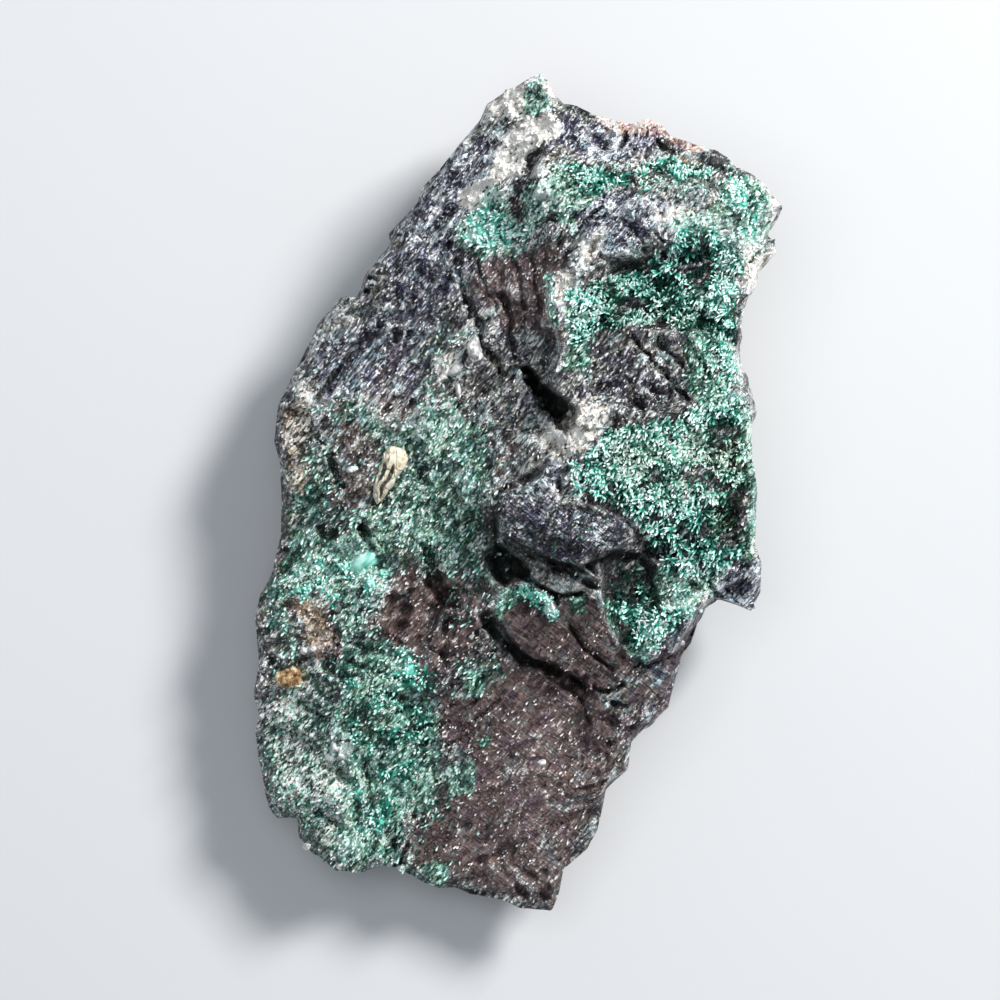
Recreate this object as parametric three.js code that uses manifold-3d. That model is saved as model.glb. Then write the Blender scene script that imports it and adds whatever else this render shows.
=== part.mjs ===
// Brochantite on bornite: a palm-sized piece of tarnished bornite rock, broken into
// ledges and hollows, with druses of green brochantite crystals grown in shallow beds.
// It lies on the flat of its underside. Millimetres, +Z up, the long way along Y.
import * as THREE from 'three';
import { mergeVertices } from 'three/addons/utils/BufferGeometryUtils.js';
import Module from 'manifold-3d';

const wasm = await Module();
wasm.setup();
const { Manifold, Mesh: SolidMesh } = wasm;

// ---- Driving dimensions ---------------------------------------------------------

const GAP = 0.3; // clearance around each piece that sits in the rock
const CENTRE = [0.4, 1.6]; // every ray from here crosses the outline once
const ROCK_CELLS = [30, 46, 4]; // faces across, along and up the rock
const SOFTENING = 1.2; // the relief is averaged over this distance each way
const SIMPLIFY = 0.16; // flat stretches of the rock are merged to within this
const OUTLINE_BLUR = 0.3; // half angle over which the outline is evened out inside
const RIM_WIDTH = 0.06; // share of the radius over which the top rounds off
const RIM_DROP = 1.1; // how far the top falls at its rim
const WALL_UNDERCUT = 0.11; // share of the radius that the walls lean in below the rim
const WALL_BREAKS = 0.05; // share of the radius by which the walls are broken in and out
const UNDERSIDE_RISE = 6.4; // how far the underside climbs to the rim
const UNDERSIDE_SINK = 1.3; // depth trimmed off to make the flat to rest on
const THINNEST = 3; // least thickness of rock at the rim
const FLOOR_LEVEL = 6; // lowest level of the top surface
const LUMPS = [[5, 4.3, 0.55], [6, 1.9, 0.3]]; // seed, size and height of the lumps

// The outline as seen from above, clockwise from the crown of the crest.
const OUTLINE = [
  // crown
  [-3.4, 39.2], [-3, 40.2], [-0.8, 41.6], [0.9, 42.3], [2.3, 43.1], [3.3, 42.2],
  [3.7, 41], [4.8, 39.9],
  // top edge
  [6.2, 39.7], [8.4, 38.7], [9.9, 38.3], [11.9, 38], [13.5, 38.5], [14.8, 38],
  [15.7, 36.7], [19, 35.6], [20.6, 35.3], [21.6, 34.6],
  // shoulder
  [22.2, 33.7], [24.1, 32.8], [25.3, 31.5], [27.1, 29.3], [26.6, 28.2], [25.6, 26.6],
  [26.4, 25.9], [26.4, 24.6], [24.9, 23], [24.4, 21.2],
  // right edge
  [23.5, 20], [22.9, 17.6], [22.6, 13.8], [23.2, 11.5], [24.3, 8.1], [23.9, 7],
  [24, 4.2], [24.6, 0.4], [24.4, -5],
  // beak
  [25.1, -6.9], [25.2, -9.9], [24.2, -11.9], [23, -11.3], [20.6, -10.5], [19.6, -11],
  // flank
  [18.6, -13], [18, -15.1], [17, -16.4], [16.3, -19], [15.6, -21.6], [12.9, -24.2],
  [11.9, -25.3], [11.4, -28.2], [9.3, -30.3], [9, -32.1],
  // toe
  [8.4, -34.6], [7.4, -36.5], [4.9, -38.7], [4.5, -41.1], [3.7, -43.1], [0.4, -42.8],
  [-1.1, -42],
  // foot
  [-4.7, -41.4], [-6.3, -40.7], [-8, -40.8], [-9.9, -39.9], [-12.5, -38.6], [-14, -38.3],
  [-16.1, -39.1], [-18.7, -38.8], [-21.2, -36.7], [-22.4, -34.8], [-22.6, -33.3],
  [-24.3, -33],
  // left edge
  [-25.9, -31], [-26.1, -29.3], [-26.7, -27.4], [-27, -24.6], [-26.6, -22.7],
  [-27.2, -20.5], [-26.6, -17.4], [-27, -12.5], [-26.5, -10.3], [-25.3, -8.4],
  [-24.3, -4], [-24.2, -0.4], [-24.4, 3.5], [-25, 5.7], [-24.6, 9.4],
  // slope up to the crown
  [-23, 12.6], [-20.4, 17.9], [-18.1, 20.5], [-16.4, 20.6], [-15.7, 22.1], [-13, 25.9],
  [-13.1, 27.1], [-10.1, 30.2], [-9.9, 31.4], [-7.8, 33.6], [-4.9, 37.1], [-3.7, 38.5],
];

// The rock's top is made of broken blocks. Each has an edge, three spot heights
// [x, y, z] that tilt its top, and how steeply it falls away outside its edge.
const BLOCKS = [
  {
    name: 'left slab',
    edge: [
      [-4.5, 17], [2, 20], [4.5, 7], [1.5, 1.5], [-1, -4.5], [-1.5, -11.5], [-7, -16],
      [-12, -20], [-16, -27], [-19, -38.5], [-23, -33.5], [-26, -30.5], [-27, -21],
      [-27, -11.5], [-24.5, -4.5], [-24.5, 6], [-22, 10], [-12, 10],
    ],
    spots: [[0.5, 10, 19.5], [-23.5, 4.5, 12.8], [-22, -27, 11]],
    fall: 0.8,
  },
  {
    name: 'left shoulder',
    edge: [
      [-18, 20.5], [-16, 21.5], [-12, 28], [-8, 31.5], [-3.5, 26.5], [-1.5, 20],
      [-3.5, 14], [-9, 8], [-18, 7], [-24, 10], [-22, 14.5],
    ],
    spots: [[-2.5, 20, 19.8], [-17, 19, 13.2], [-22, 10, 12]],
    fall: 0.7,
  },
  {
    name: 'crest slope',
    edge: [
      [-10, 31], [-7, 34.5], [-3, 38.5], [1.5, 42.5], [3.5, 41], [3.5, 30.5], [2.5, 20],
      [-2.5, 21], [-7, 25.5], [-12, 27],
    ],
    spots: [[1.5, 40, 20.5], [2, 22, 22.5], [-9, 30.5, 15.5]],
    fall: 0.9,
  },
  {
    name: 'top band',
    edge: [
      [2, 42.5], [8.5, 38.5], [14, 38], [19, 35.5], [25, 31.5], [26.5, 29.5], [19, 29],
      [10.5, 29], [4.5, 24.5], [2.5, 30.5],
    ],
    spots: [[4.5, 40, 19.5], [19, 34.5, 20.5], [10.5, 29.5, 24.8]],
    fall: 1.2,
  },
  {
    name: 'ridge',
    edge: [
      [3, 18.5], [4, 22], [8.5, 28], [13, 30.5], [18, 31], [22.5, 29], [19, 27],
      [13, 24.5], [8, 23.5], [5.5, 20], [4, 17],
    ],
    spots: [[3.5, 19, 24.3], [10.5, 27.5, 26], [19, 29.5, 24.4]],
    fall: 1.8,
  },
  {
    name: 'upper block',
    edge: [
      [4, 21], [8.5, 24], [14, 25], [23, 29], [25.5, 26.5], [24, 21], [22.5, 15],
      [23.5, 10], [19, 7], [6.5, 7], [4.5, 9.5],
    ],
    spots: [[4.5, 15, 25], [23, 20, 22], [14, 8, 24.2]],
    fall: 2.4,
  },
  {
    name: 'lower block',
    edge: [
      [4.5, 6], [6.5, 8], [13, 9.5], [23, 10.5], [24.5, 4.5], [24.5, -7], [20, -10],
      [15.5, -16], [13.5, -17], [10, -15], [8.5, -10.5], [8.5, -6], [12, -4.5],
      [8.5, -1], [4.5, -0.5],
    ],
    spots: [[5, 2.5, 24], [24, 4.5, 21.8], [14, -15, 17]],
    fall: 1.8,
  },
  {
    name: 'tongue',
    edge: [
      [-1.5, -0.5], [0, 1], [3.5, 3.5], [4.5, 2.5], [6, -0.5], [8.5, -1.5], [12, -4],
      [10.5, -5], [8.5, -6.5], [7, -7], [4.5, -6.5], [2.5, -5.5], [-1.5, -4.5],
    ],
    spots: [[3.5, 1.5, 24.8], [-0.5, -2, 22.6], [10.5, -5, 21.6]],
    fall: 2,
  },
  {
    name: 'ledge under the tongue',
    edge: [[0, -5], [3, -6], [7, -7.5], [8.5, -9.5], [8, -10.5], [4.5, -10.5], [1, -7]],
    spots: [[0.5, -6, 20], [7.5, -8.5, 19.6], [4.5, -10.5, 18]],
    fall: 1.6,
  },
  {
    name: 'lower slab',
    edge: [
      [-1.5, -11.5], [0, -9], [3, -10], [8.5, -10.5], [10.5, -15], [13.5, -17.5],
      [19, -20], [16, -21], [13, -19.5], [8.5, -19.5], [6.5, -18.5], [3, -17],
      [0.5, -15.5],
    ],
    spots: [[-1, -12, 17.4], [4.5, -15, 17.9], [14, -19, 15.6]],
    fall: 1.8,
  },
  {
    name: 'bottom slope',
    edge: [
      [-12, -21], [-7, -16], [-3.5, -15], [8.5, -20], [18, -16], [15, -22.5],
      [8.5, -30.5], [7.5, -36.5], [4, -42.5], [-1.5, -42], [-8, -40.5], [-16, -38.5],
    ],
    spots: [[-1.5, -17, 14.4], [10.5, -22, 14.6], [2.5, -40.5, 9.5]],
    fall: 0.9,
  },
  {
    name: 'flank',
    edge: [
      [8.5, -20], [13.5, -17.5], [19, -12], [19, -15], [13, -24.5], [9.5, -31.5],
      [7.5, -28],
    ],
    spots: [[11.5, -19, 15.4], [18, -13, 15], [13, -24.5, 11.5]],
    fall: 1.4,
  },
  {
    name: 'beak',
    edge: [[19.5, -9.5], [21, -6.5], [25, -6.5], [25, -10], [24, -11.5], [20.5, -10.5]],
    spots: [[20.5, -8.5, 17], [25, -7, 15.6], [23.5, -11, 14.2]],
    fall: 2,
  },
];
const BLOCK_CAP = 0.5; // a block's top rises at most this far above its highest spot

// Hollows broken into the blocks: an edge, a depth and the width of the wall.
const HOLLOWS = [
  {
    name: 'cavity',
    edge: [[1.5, 14.5], [3, 13], [4.5, 10.5], [6, 8], [5, 6], [3.5, 7], [2.5, 9.5], [1.5, 12.5]],
    depth: 8,
    wall: 1.6,
  },
  {
    name: 'crest pit',
    edge: [[-1, 34.5], [1.5, 35.5], [3, 33.5], [2.5, 30.5], [1, 28], [-1, 29], [-1.5, 32]],
    depth: 4,
    wall: 2,
  },
  {
    name: 'hole under the tongue',
    edge: [[-2.5, -4.5], [-1, -5], [0.5, -6], [1, -7], [0.5, -8.5], [-1, -9.5], [-2.5, -8]],
    depth: 6.5,
    wall: 1.6,
  },
  {
    name: 'basin of the upper block',
    edge: [
      [10, 23.5], [15, 24.5], [20.5, 26], [22.5, 23.5], [22, 18], [22.5, 15], [19, 16.5],
      [13, 17], [9.5, 20],
    ],
    depth: 2.4,
    wall: 2.4,
  },
  {
    name: 'pocket',
    edge: [
      [8.5, -7], [10, -6], [13, -6.5], [14, -8], [14.5, -11], [14.5, -15], [13, -15.5],
      [10.5, -14], [9, -10.5],
    ],
    depth: 1.9,
    wall: 1.8,
  },
  {
    name: 'dip between the druses',
    edge: [[8.5, 15.5], [15, 16.5], [19, 10], [14, 9], [7.5, 10]],
    depth: 0.8,
    wall: 2,
  },
];

// A druse is one crust of brochantite crystals grown together. Each lies in a bed that
// follows the rock, with its edge given as seen from above.
const BED_DEPTH = 0.8; // bed below the surface of the rock
const CRUST_RISE = 0.7; // crust above the surface of the rock
const CRUST_TAPER = 0.35; // share of that rise lost at the crust's edge
const BED_CLEARANCE = 0.45; // clearance under the crust
const DRUSES = [
  {
    name: 'druse_upper_block',
    colour: 0x3fa886,
    centre: [14, 20.5],
    cells: [11, 8],
    edge: [
      [5, 20.5], [8.5, 22.5], [13, 23.3], [14.5, 25.3], [19, 27.6], [22.3, 26],
      [23, 23.3], [22.6, 20.2], [21.4, 16.8], [18, 17], [14, 17.6], [10.5, 16.6],
      [7.5, 15.6], [5.5, 15], [5, 17],
    ],
  },
  {
    name: 'druse_lower_block',
    colour: 0x4aa488,
    centre: [15.3, 1.6],
    cells: [11, 10],
    edge: [
      [5.4, 2.5], [8.5, 6], [15, 8], [22.6, 9.6], [23.2, 7], [23.2, 2.5], [23.7, -0.5],
      [23.4, -5], [22, -6.6], [19, -8], [15.8, -9.8], [15.3, -7], [13.4, -4.6],
      [12.2, -2.4], [9, -0.2], [5.8, 0.4],
    ],
  },
  {
    name: 'druse_pocket',
    colour: 0x35705c,
    centre: [13, -11.6],
    cells: [7, 7],
    edge: [
      [9.6, -7.4], [12.4, -7.4], [13.6, -9.6], [15.6, -11.4], [17.6, -11],
      [17.6, -12.4], [16.6, -14.4], [14.8, -15.8], [13.3, -16.2], [11.2, -14.8],
      [10.2, -12.5], [9.2, -10],
    ],
  },
  {
    name: 'druse_crest',
    colour: 0x7fa9a1,
    centre: [-2.6, 27],
    cells: [6, 6],
    edge: [
      [-3.7, 31.2], [-2.2, 31.8], [-1.4, 29], [0.2, 27.2], [2.2, 26.8], [2, 25.3],
      [0, 24.6], [-2.7, 24.3], [-5, 24.7], [-6, 27], [-5.4, 29.3],
    ],
  },
  {
    name: 'druse_top_edge',
    colour: 0x6fae9c,
    centre: [12, 32],
    cells: [11, 4],
    edge: [
      [5, 34.2], [6.5, 34.4], [8.7, 33.6], [12.8, 33.6], [17, 34.2], [19.4, 33.4],
      [19.8, 32], [18, 31.6], [13.8, 31.4], [9.7, 31.2], [7, 31], [5.4, 31],
      [4.8, 32.4],
    ],
  },
  {
    name: 'druse_shoulder',
    colour: 0xa5d7d0,
    centre: [23.2, 29.2],
    cells: [5, 6],
    edge: [
      [21.4, 33], [22.6, 32.2], [24, 30.8], [25, 29], [24.4, 26.8], [23.6, 26.6],
      [22, 28], [21.2, 30],
    ],
  },
  {
    name: 'druse_seam',
    colour: 0x72a195,
    centre: [2.2, -10.4],
    cells: [5, 3],
    edge: [
      [0, -9.2], [1.2, -8.9], [3, -10], [4.6, -11.8], [3.8, -12.4], [2, -11.3],
      [0.5, -10.4],
    ],
  },
  {
    name: 'druse_left_edge',
    colour: 0x90bcaf,
    centre: [-17.6, -9.6],
    cells: [7, 6],
    edge: [
      [-22.2, -6.6], [-19.2, -5], [-15.6, -5.4], [-13, -6.2], [-12.2, -9.7],
      [-14, -12.8], [-17.1, -14.8], [-19.2, -13.6], [-19.6, -11.9], [-22.2, -10.7],
      [-23.8, -9.7],
    ],
  },
  {
    name: 'druse_lower_left',
    colour: 0x73887b,
    centre: [-13.5, -25.5],
    cells: [6, 12],
    edge: [
      [-18.2, -17.2], [-14, -16], [-9.4, -15.6], [-7.8, -19], [-8.3, -23],
      [-9.9, -28.2], [-11.6, -33], [-13.6, -36.4], [-16.6, -35.6], [-17.6, -31.3],
      [-17, -26.2], [-18.1, -21],
    ],
  },
];

// Loose-looking grains that are bedded in the rock: centre, half sizes and turn about Z.
const GRAINS = [
  {
    name: 'pale_pod',
    colour: 0xd8d2bd,
    centre: [-12.8, 2.2],
    half: [1, 2.1, 0.9],
    turn: -0.35,
  },
  {
    name: 'quartz_grain',
    colour: 0xc9cccb,
    centre: [-4.2, 15],
    half: [0.9, 1.5, 0.8],
    turn: 0.2,
  },
  {
    name: 'limonite_nodule',
    colour: 0x98815f,
    centre: [-23, -19],
    half: [1.5, 1.3, 1.1],
    turn: 0.3,
  },
];
const GRAIN_SINK = 0.35; // share of a grain's half height that it is sunk below centre
const GRAIN_FACES = [10, 7];

// ---- Relief -----------------------------------------------------------------------

function lattice(i, j, seed) {
  const value = Math.sin(i * 127.1 + j * 311.7 + seed * 74.7) * 43758.5453;
  return (value - Math.floor(value)) * 2 - 1;
}

function ease(t) {
  const clamped = Math.min(Math.max(t, 0), 1);
  return clamped * clamped * (3 - 2 * clamped);
}

// Smooth random hills between -1 and 1, one unit apart.
function noise(x, y, seed) {
  const i = Math.floor(x);
  const j = Math.floor(y);
  const across = ease(x - i);
  const along = ease(y - j);
  const near = THREE.MathUtils.lerp(lattice(i, j, seed), lattice(i + 1, j, seed), across);
  const far = THREE.MathUtils.lerp(lattice(i, j + 1, seed), lattice(i + 1, j + 1, seed), across);
  return THREE.MathUtils.lerp(near, far, along);
}

function distanceToSide(x, y, [ax, ay], [bx, by]) {
  const dx = bx - ax;
  const dy = by - ay;
  const along = ((x - ax) * dx + (y - ay) * dy) / (dx * dx + dy * dy);
  const t = Math.min(Math.max(along, 0), 1);
  return Math.hypot(x - ax - t * dx, y - ay - t * dy);
}

// Distance to a closed edge, negative inside it.
function distanceToEdge(x, y, edge) {
  let nearest = Infinity;
  let inside = false;
  edge.forEach((from, index) => {
    const to = edge[(index + 1) % edge.length];
    nearest = Math.min(nearest, distanceToSide(x, y, from, to));
    const crosses = from[1] > y !== to[1] > y;
    if (crosses && x < from[0] + ((y - from[1]) / (to[1] - from[1])) * (to[0] - from[0])) {
      inside = !inside;
    }
  });
  return inside ? -nearest : nearest;
}

function tiltedTop(x, y, spots) {
  const [a, b, c] = spots.map((spot) => new THREE.Vector3(...spot));
  const normal = b.clone().sub(a).cross(c.clone().sub(a));
  return a.z - (normal.x * (x - a.x) + normal.y * (y - a.y)) / normal.z;
}

function blockHeight(x, y, { edge, spots, fall }) {
  const cap = Math.max(...spots.map((spot) => spot[2])) + BLOCK_CAP;
  const outside = Math.max(distanceToEdge(x, y, edge), 0);
  return Math.min(tiltedTop(x, y, spots), cap) - fall * outside;
}

// Height of the rock's broken top, before it rounds off at the rim.
function brokenTop(x, y) {
  const wx = x + 0.7 * noise(x / 3.1, y / 3.1, 1);
  const wy = y + 0.7 * noise(x / 3.1, y / 3.1, 3);
  let height = FLOOR_LEVEL;
  for (const block of BLOCKS) {
    height = Math.max(height, blockHeight(wx, wy, block));
  }
  for (const { edge, depth, wall } of HOLLOWS) {
    height -= depth * ease(0.5 - distanceToEdge(wx, wy, edge) / wall);
  }
  for (const [seed, size, rise] of LUMPS) {
    height += rise * noise(x / size, y / size, seed);
  }
  return height;
}

// The broken top with its edges worn down.
function topHeight(x, y) {
  let sum = 2 * brokenTop(x, y);
  for (const step of [-SOFTENING, SOFTENING]) {
    sum += brokenTop(x + step, y) + brokenTop(x, y + step);
    sum += 0.5 * (brokenTop(x + step, y + step) + brokenTop(x + step, y - step));
  }
  return sum / 8;
}

// Reach of a closed edge from a centre, in one direction.
function reachOf(edge, [cx, cy], angle) {
  const dx = Math.cos(angle);
  const dy = Math.sin(angle);
  let reach = 0;
  edge.forEach(([ax, ay], index) => {
    const [bx, by] = edge[(index + 1) % edge.length];
    const ex = bx - ax;
    const ey = by - ay;
    const across = dx * ey - dy * ex;
    const distance = ((ax - cx) * ey - (ay - cy) * ex) / across;
    const along = ((ax - cx) * dy - (ay - cy) * dx) / across;
    if (distance > 0 && along >= -1e-9 && along <= 1 + 1e-9) {
      reach = Math.max(reach, distance);
    }
  });
  return reach;
}

// Reach inside the rock: even near the centre, true to the outline at the rim.
function evenedReach(angle, out) {
  let sum = 0;
  for (let step = -4; step <= 4; step += 1) {
    sum += reachOf(OUTLINE, CENTRE, angle + (step / 4) * OUTLINE_BLUR);
  }
  return THREE.MathUtils.lerp(sum / 9, reachOf(OUTLINE, CENTRE, angle), out ** 6);
}

function halfSizes(edge, [cx, cy]) {
  const half = [0, 0];
  for (const [x, y] of edge) {
    half[0] = Math.max(half[0], Math.abs(x - cx));
    half[1] = Math.max(half[1], Math.abs(y - cy));
  }
  return half;
}

// ---- Solids -----------------------------------------------------------------------

function toSolid(geometry) {
  geometry.deleteAttribute('normal');
  geometry.deleteAttribute('uv');
  const merged = mergeVertices(geometry, 1e-4);
  return new Manifold(new SolidMesh({
    numProp: 3,
    vertProperties: new Float32Array(merged.getAttribute('position').array),
    triVerts: new Uint32Array(merged.getIndex().array),
  }));
}

function toGeometry(solid) {
  const { vertProperties, triVerts } = solid.getMesh();
  const geometry = new THREE.BufferGeometry();
  geometry.setAttribute('position', new THREE.BufferAttribute(vertProperties, 3));
  geometry.setIndex(new THREE.BufferAttribute(triVerts, 1));
  return geometry;
}

// A box whose sides are drawn out to a closed edge. The place function is given the
// share of the way out, the share of the way up and the direction, and answers with
// the radius and the height of that point.
function boxInEdge(edge, centre, [across, along, up], place) {
  const [halfX, halfY] = halfSizes(edge, centre);
  const geometry = new THREE.BoxGeometry(2, 2, 1, across, along, up);
  const position = geometry.getAttribute('position');
  for (let i = 0; i < position.count; i += 1) {
    const u = position.getX(i);
    const v = position.getY(i);
    const out = Math.max(Math.abs(u), Math.abs(v));
    const angle = Math.atan2(v * halfY, u * halfX);
    const [radius, height] = place(out, position.getZ(i) + 0.5, angle);
    const x = centre[0] + radius * Math.cos(angle);
    const y = centre[1] + radius * Math.sin(angle);
    position.setXYZ(i, x, y, height);
  }
  return toSolid(geometry);
}

function rockPlace(out, up, angle) {
  const reach = evenedReach(angle, out);
  const x = CENTRE[0] + out * reach * Math.cos(angle);
  const y = CENTRE[1] + out * reach * Math.sin(angle);
  const rounding = RIM_DROP * ease((out - 1 + RIM_WIDTH) / RIM_WIDTH);
  const top = topHeight(x, y) - rounding;
  const bulge = noise(x / 9, y / 9, 21) + 0.6 * noise(x / 3.5, y / 3.5, 22);
  const rise = UNDERSIDE_RISE * out ** 3 - UNDERSIDE_SINK + 0.5 * bulge * out;
  const bottom = Math.min(rise, top - THINNEST);
  const lean = 1 - WALL_UNDERCUT * (1 - up) ** 1.6 * out;
  const breaks = noise(angle * 5, up * 2.5, 23) + 0.5 * noise(angle * 14, up * 4, 24);
  const broken = 1 + WALL_BREAKS * breaks * up * (1 - up) * 4 * out ** 4;
  return [out * reach * lean * broken, THREE.MathUtils.lerp(bottom, top, up)];
}

function makeRock() {
  const whole = boxInEdge(OUTLINE, CENTRE, ROCK_CELLS, rockPlace);
  const below = toSolid(new THREE.BoxGeometry(120, 120, 20).translate(0, 0, -10));
  return whole.subtract(below).simplify(SIMPLIFY);
}

// A druse follows the rock. Its bed is the same shape, wider and deeper by the
// clearance and open at the top.
function druseSolid({ edge, centre, cells }, asBed) {
  return boxInEdge(edge, centre, [...cells, 1], (out, up, angle) => {
    const radius = out * reachOf(edge, centre, angle);
    const x = centre[0] + radius * Math.cos(angle);
    const y = centre[1] + radius * Math.sin(angle);
    const surface = topHeight(x, y);
    const floor = surface - BED_DEPTH;
    const crown = surface + CRUST_RISE * (1 - CRUST_TAPER * out ** 4);
    if (asBed) {
      return [radius + GAP * out, up ? surface + 4 : floor - BED_CLEARANCE];
    }
    return [radius, up ? crown : floor];
  });
}

function grainSolid({ centre, half, turn }, growth) {
  const geometry = new THREE.SphereGeometry(1, ...GRAIN_FACES);
  const position = geometry.getAttribute('position');
  for (let i = 0; i < position.count; i += 1) {
    const [x, y, z] = [position.getX(i), position.getY(i), position.getZ(i)];
    const uneven = 1 + 0.09 * noise(x * 1.6 + centre[0], y * 1.6 + z, 31);
    position.setXYZ(
      i,
      x * (half[0] * uneven + growth),
      y * (half[1] * uneven + growth),
      z * (half[2] * uneven + growth),
    );
  }
  const height = topHeight(...centre) - GRAIN_SINK * half[2];
  geometry.rotateZ(turn);
  geometry.translate(centre[0], centre[1], height);
  return toSolid(geometry);
}

// ---- Assembly ---------------------------------------------------------------------

function piece(name, solid, colour, roughness, metalness) {
  const material = new THREE.MeshStandardMaterial({ color: colour, roughness, metalness });
  const mesh = new THREE.Mesh(toGeometry(solid), material);
  mesh.name = name;
  return mesh;
}

let rock = makeRock();
for (const druse of DRUSES) {
  rock = rock.subtract(druseSolid(druse, true));
}
for (const grain of GRAINS) {
  rock = rock.subtract(grainSolid(grain, GAP));
}

const specimen = new THREE.Group();
specimen.add(piece('bornite_rock', rock, 0x66626a, 0.55, 0.35));
for (const druse of DRUSES) {
  specimen.add(piece(druse.name, druseSolid(druse, false), druse.colour, 0.45, 0));
}
for (const grain of GRAINS) {
  specimen.add(piece(grain.name, grainSolid(grain, 0), grain.colour, 0.6, 0));
}

// The origin is at the middle of the underside.
const bounds = new THREE.Box3().setFromObject(specimen);
const middle = bounds.getCenter(new THREE.Vector3());
specimen.position.set(-middle.x, -middle.y, -bounds.min.z);

export default specimen;
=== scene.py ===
import math

import bpy
import numpy as np
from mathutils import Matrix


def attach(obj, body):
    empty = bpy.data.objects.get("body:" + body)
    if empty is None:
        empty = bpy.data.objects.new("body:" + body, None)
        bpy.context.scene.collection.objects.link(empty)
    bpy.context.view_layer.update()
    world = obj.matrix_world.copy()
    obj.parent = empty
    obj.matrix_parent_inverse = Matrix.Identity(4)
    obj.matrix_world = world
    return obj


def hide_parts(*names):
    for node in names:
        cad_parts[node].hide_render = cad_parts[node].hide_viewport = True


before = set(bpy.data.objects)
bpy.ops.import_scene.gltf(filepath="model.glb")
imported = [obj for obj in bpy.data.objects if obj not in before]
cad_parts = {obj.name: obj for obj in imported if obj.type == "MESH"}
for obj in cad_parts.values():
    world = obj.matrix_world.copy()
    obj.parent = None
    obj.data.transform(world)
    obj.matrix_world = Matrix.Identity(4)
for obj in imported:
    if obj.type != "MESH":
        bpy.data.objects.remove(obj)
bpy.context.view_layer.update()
MM = 0.001


# ---- The table, the lights and the camera ----------------------------------------------
# The stone lies on a plain pale table top. One soft lamp stands up and to the right of
# it, a broad one hangs overhead, and the camera looks straight down through a long lens.
TABLE_SIZE = 1600
VIEW_CENTRE = (-1.65, -0.41)
VIEW_WIDTH = 103.0
VIEW_LEVEL = 13.0
CAMERA_HEIGHT = 620.0
SENSOR = 36.0

bpy.ops.mesh.primitive_plane_add(size=TABLE_SIZE * MM, location=(0, 0, 0))
table = bpy.context.object
table.name = "table_top"
table_paint = bpy.data.materials.new("table_paint")
table_paint.use_nodes = True
table_shader = table_paint.node_tree.nodes["Principled BSDF"]
table_shader.inputs["Base Color"].default_value = (0.62, 0.63, 0.65, 1)
table_shader.inputs["Roughness"].default_value = 0.85
table.data.materials.append(table_paint)

world = bpy.data.worlds.new("studio")
world.use_nodes = True
world.node_tree.nodes["Background"].inputs["Color"].default_value = (0.86, 0.92, 1, 1)
world.node_tree.nodes["Background"].inputs["Strength"].default_value = 0.28
bpy.context.scene.world = world


def lamp(name, place, size, power, colour):
    bpy.ops.object.light_add(type="AREA", location=[v * MM for v in place])
    light = bpy.context.object
    light.name = name
    light.data.size = size * MM
    light.data.energy = power
    light.data.color = colour
    x, y, z = place
    light.rotation_euler = (math.atan2(math.hypot(x, y), z), 0, math.atan2(x, -y))


lamp("key_lamp", (350, 320, 430), 170, 5.4, (1, 0.985, 0.96))
lamp("top_lamp", (-120, 60, 700), 420, 1.4, (0.93, 0.97, 1))

bpy.ops.object.camera_add(
    location=(VIEW_CENTRE[0] * MM, VIEW_CENTRE[1] * MM, (VIEW_LEVEL + CAMERA_HEIGHT) * MM)
)
camera = bpy.context.object
camera.data.sensor_width = SENSOR
camera.data.lens = SENSOR * CAMERA_HEIGHT / VIEW_WIDTH
camera.data.clip_start = 0.01
bpy.context.scene.camera = camera
bpy.context.scene.view_settings.view_transform = "Standard"


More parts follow.
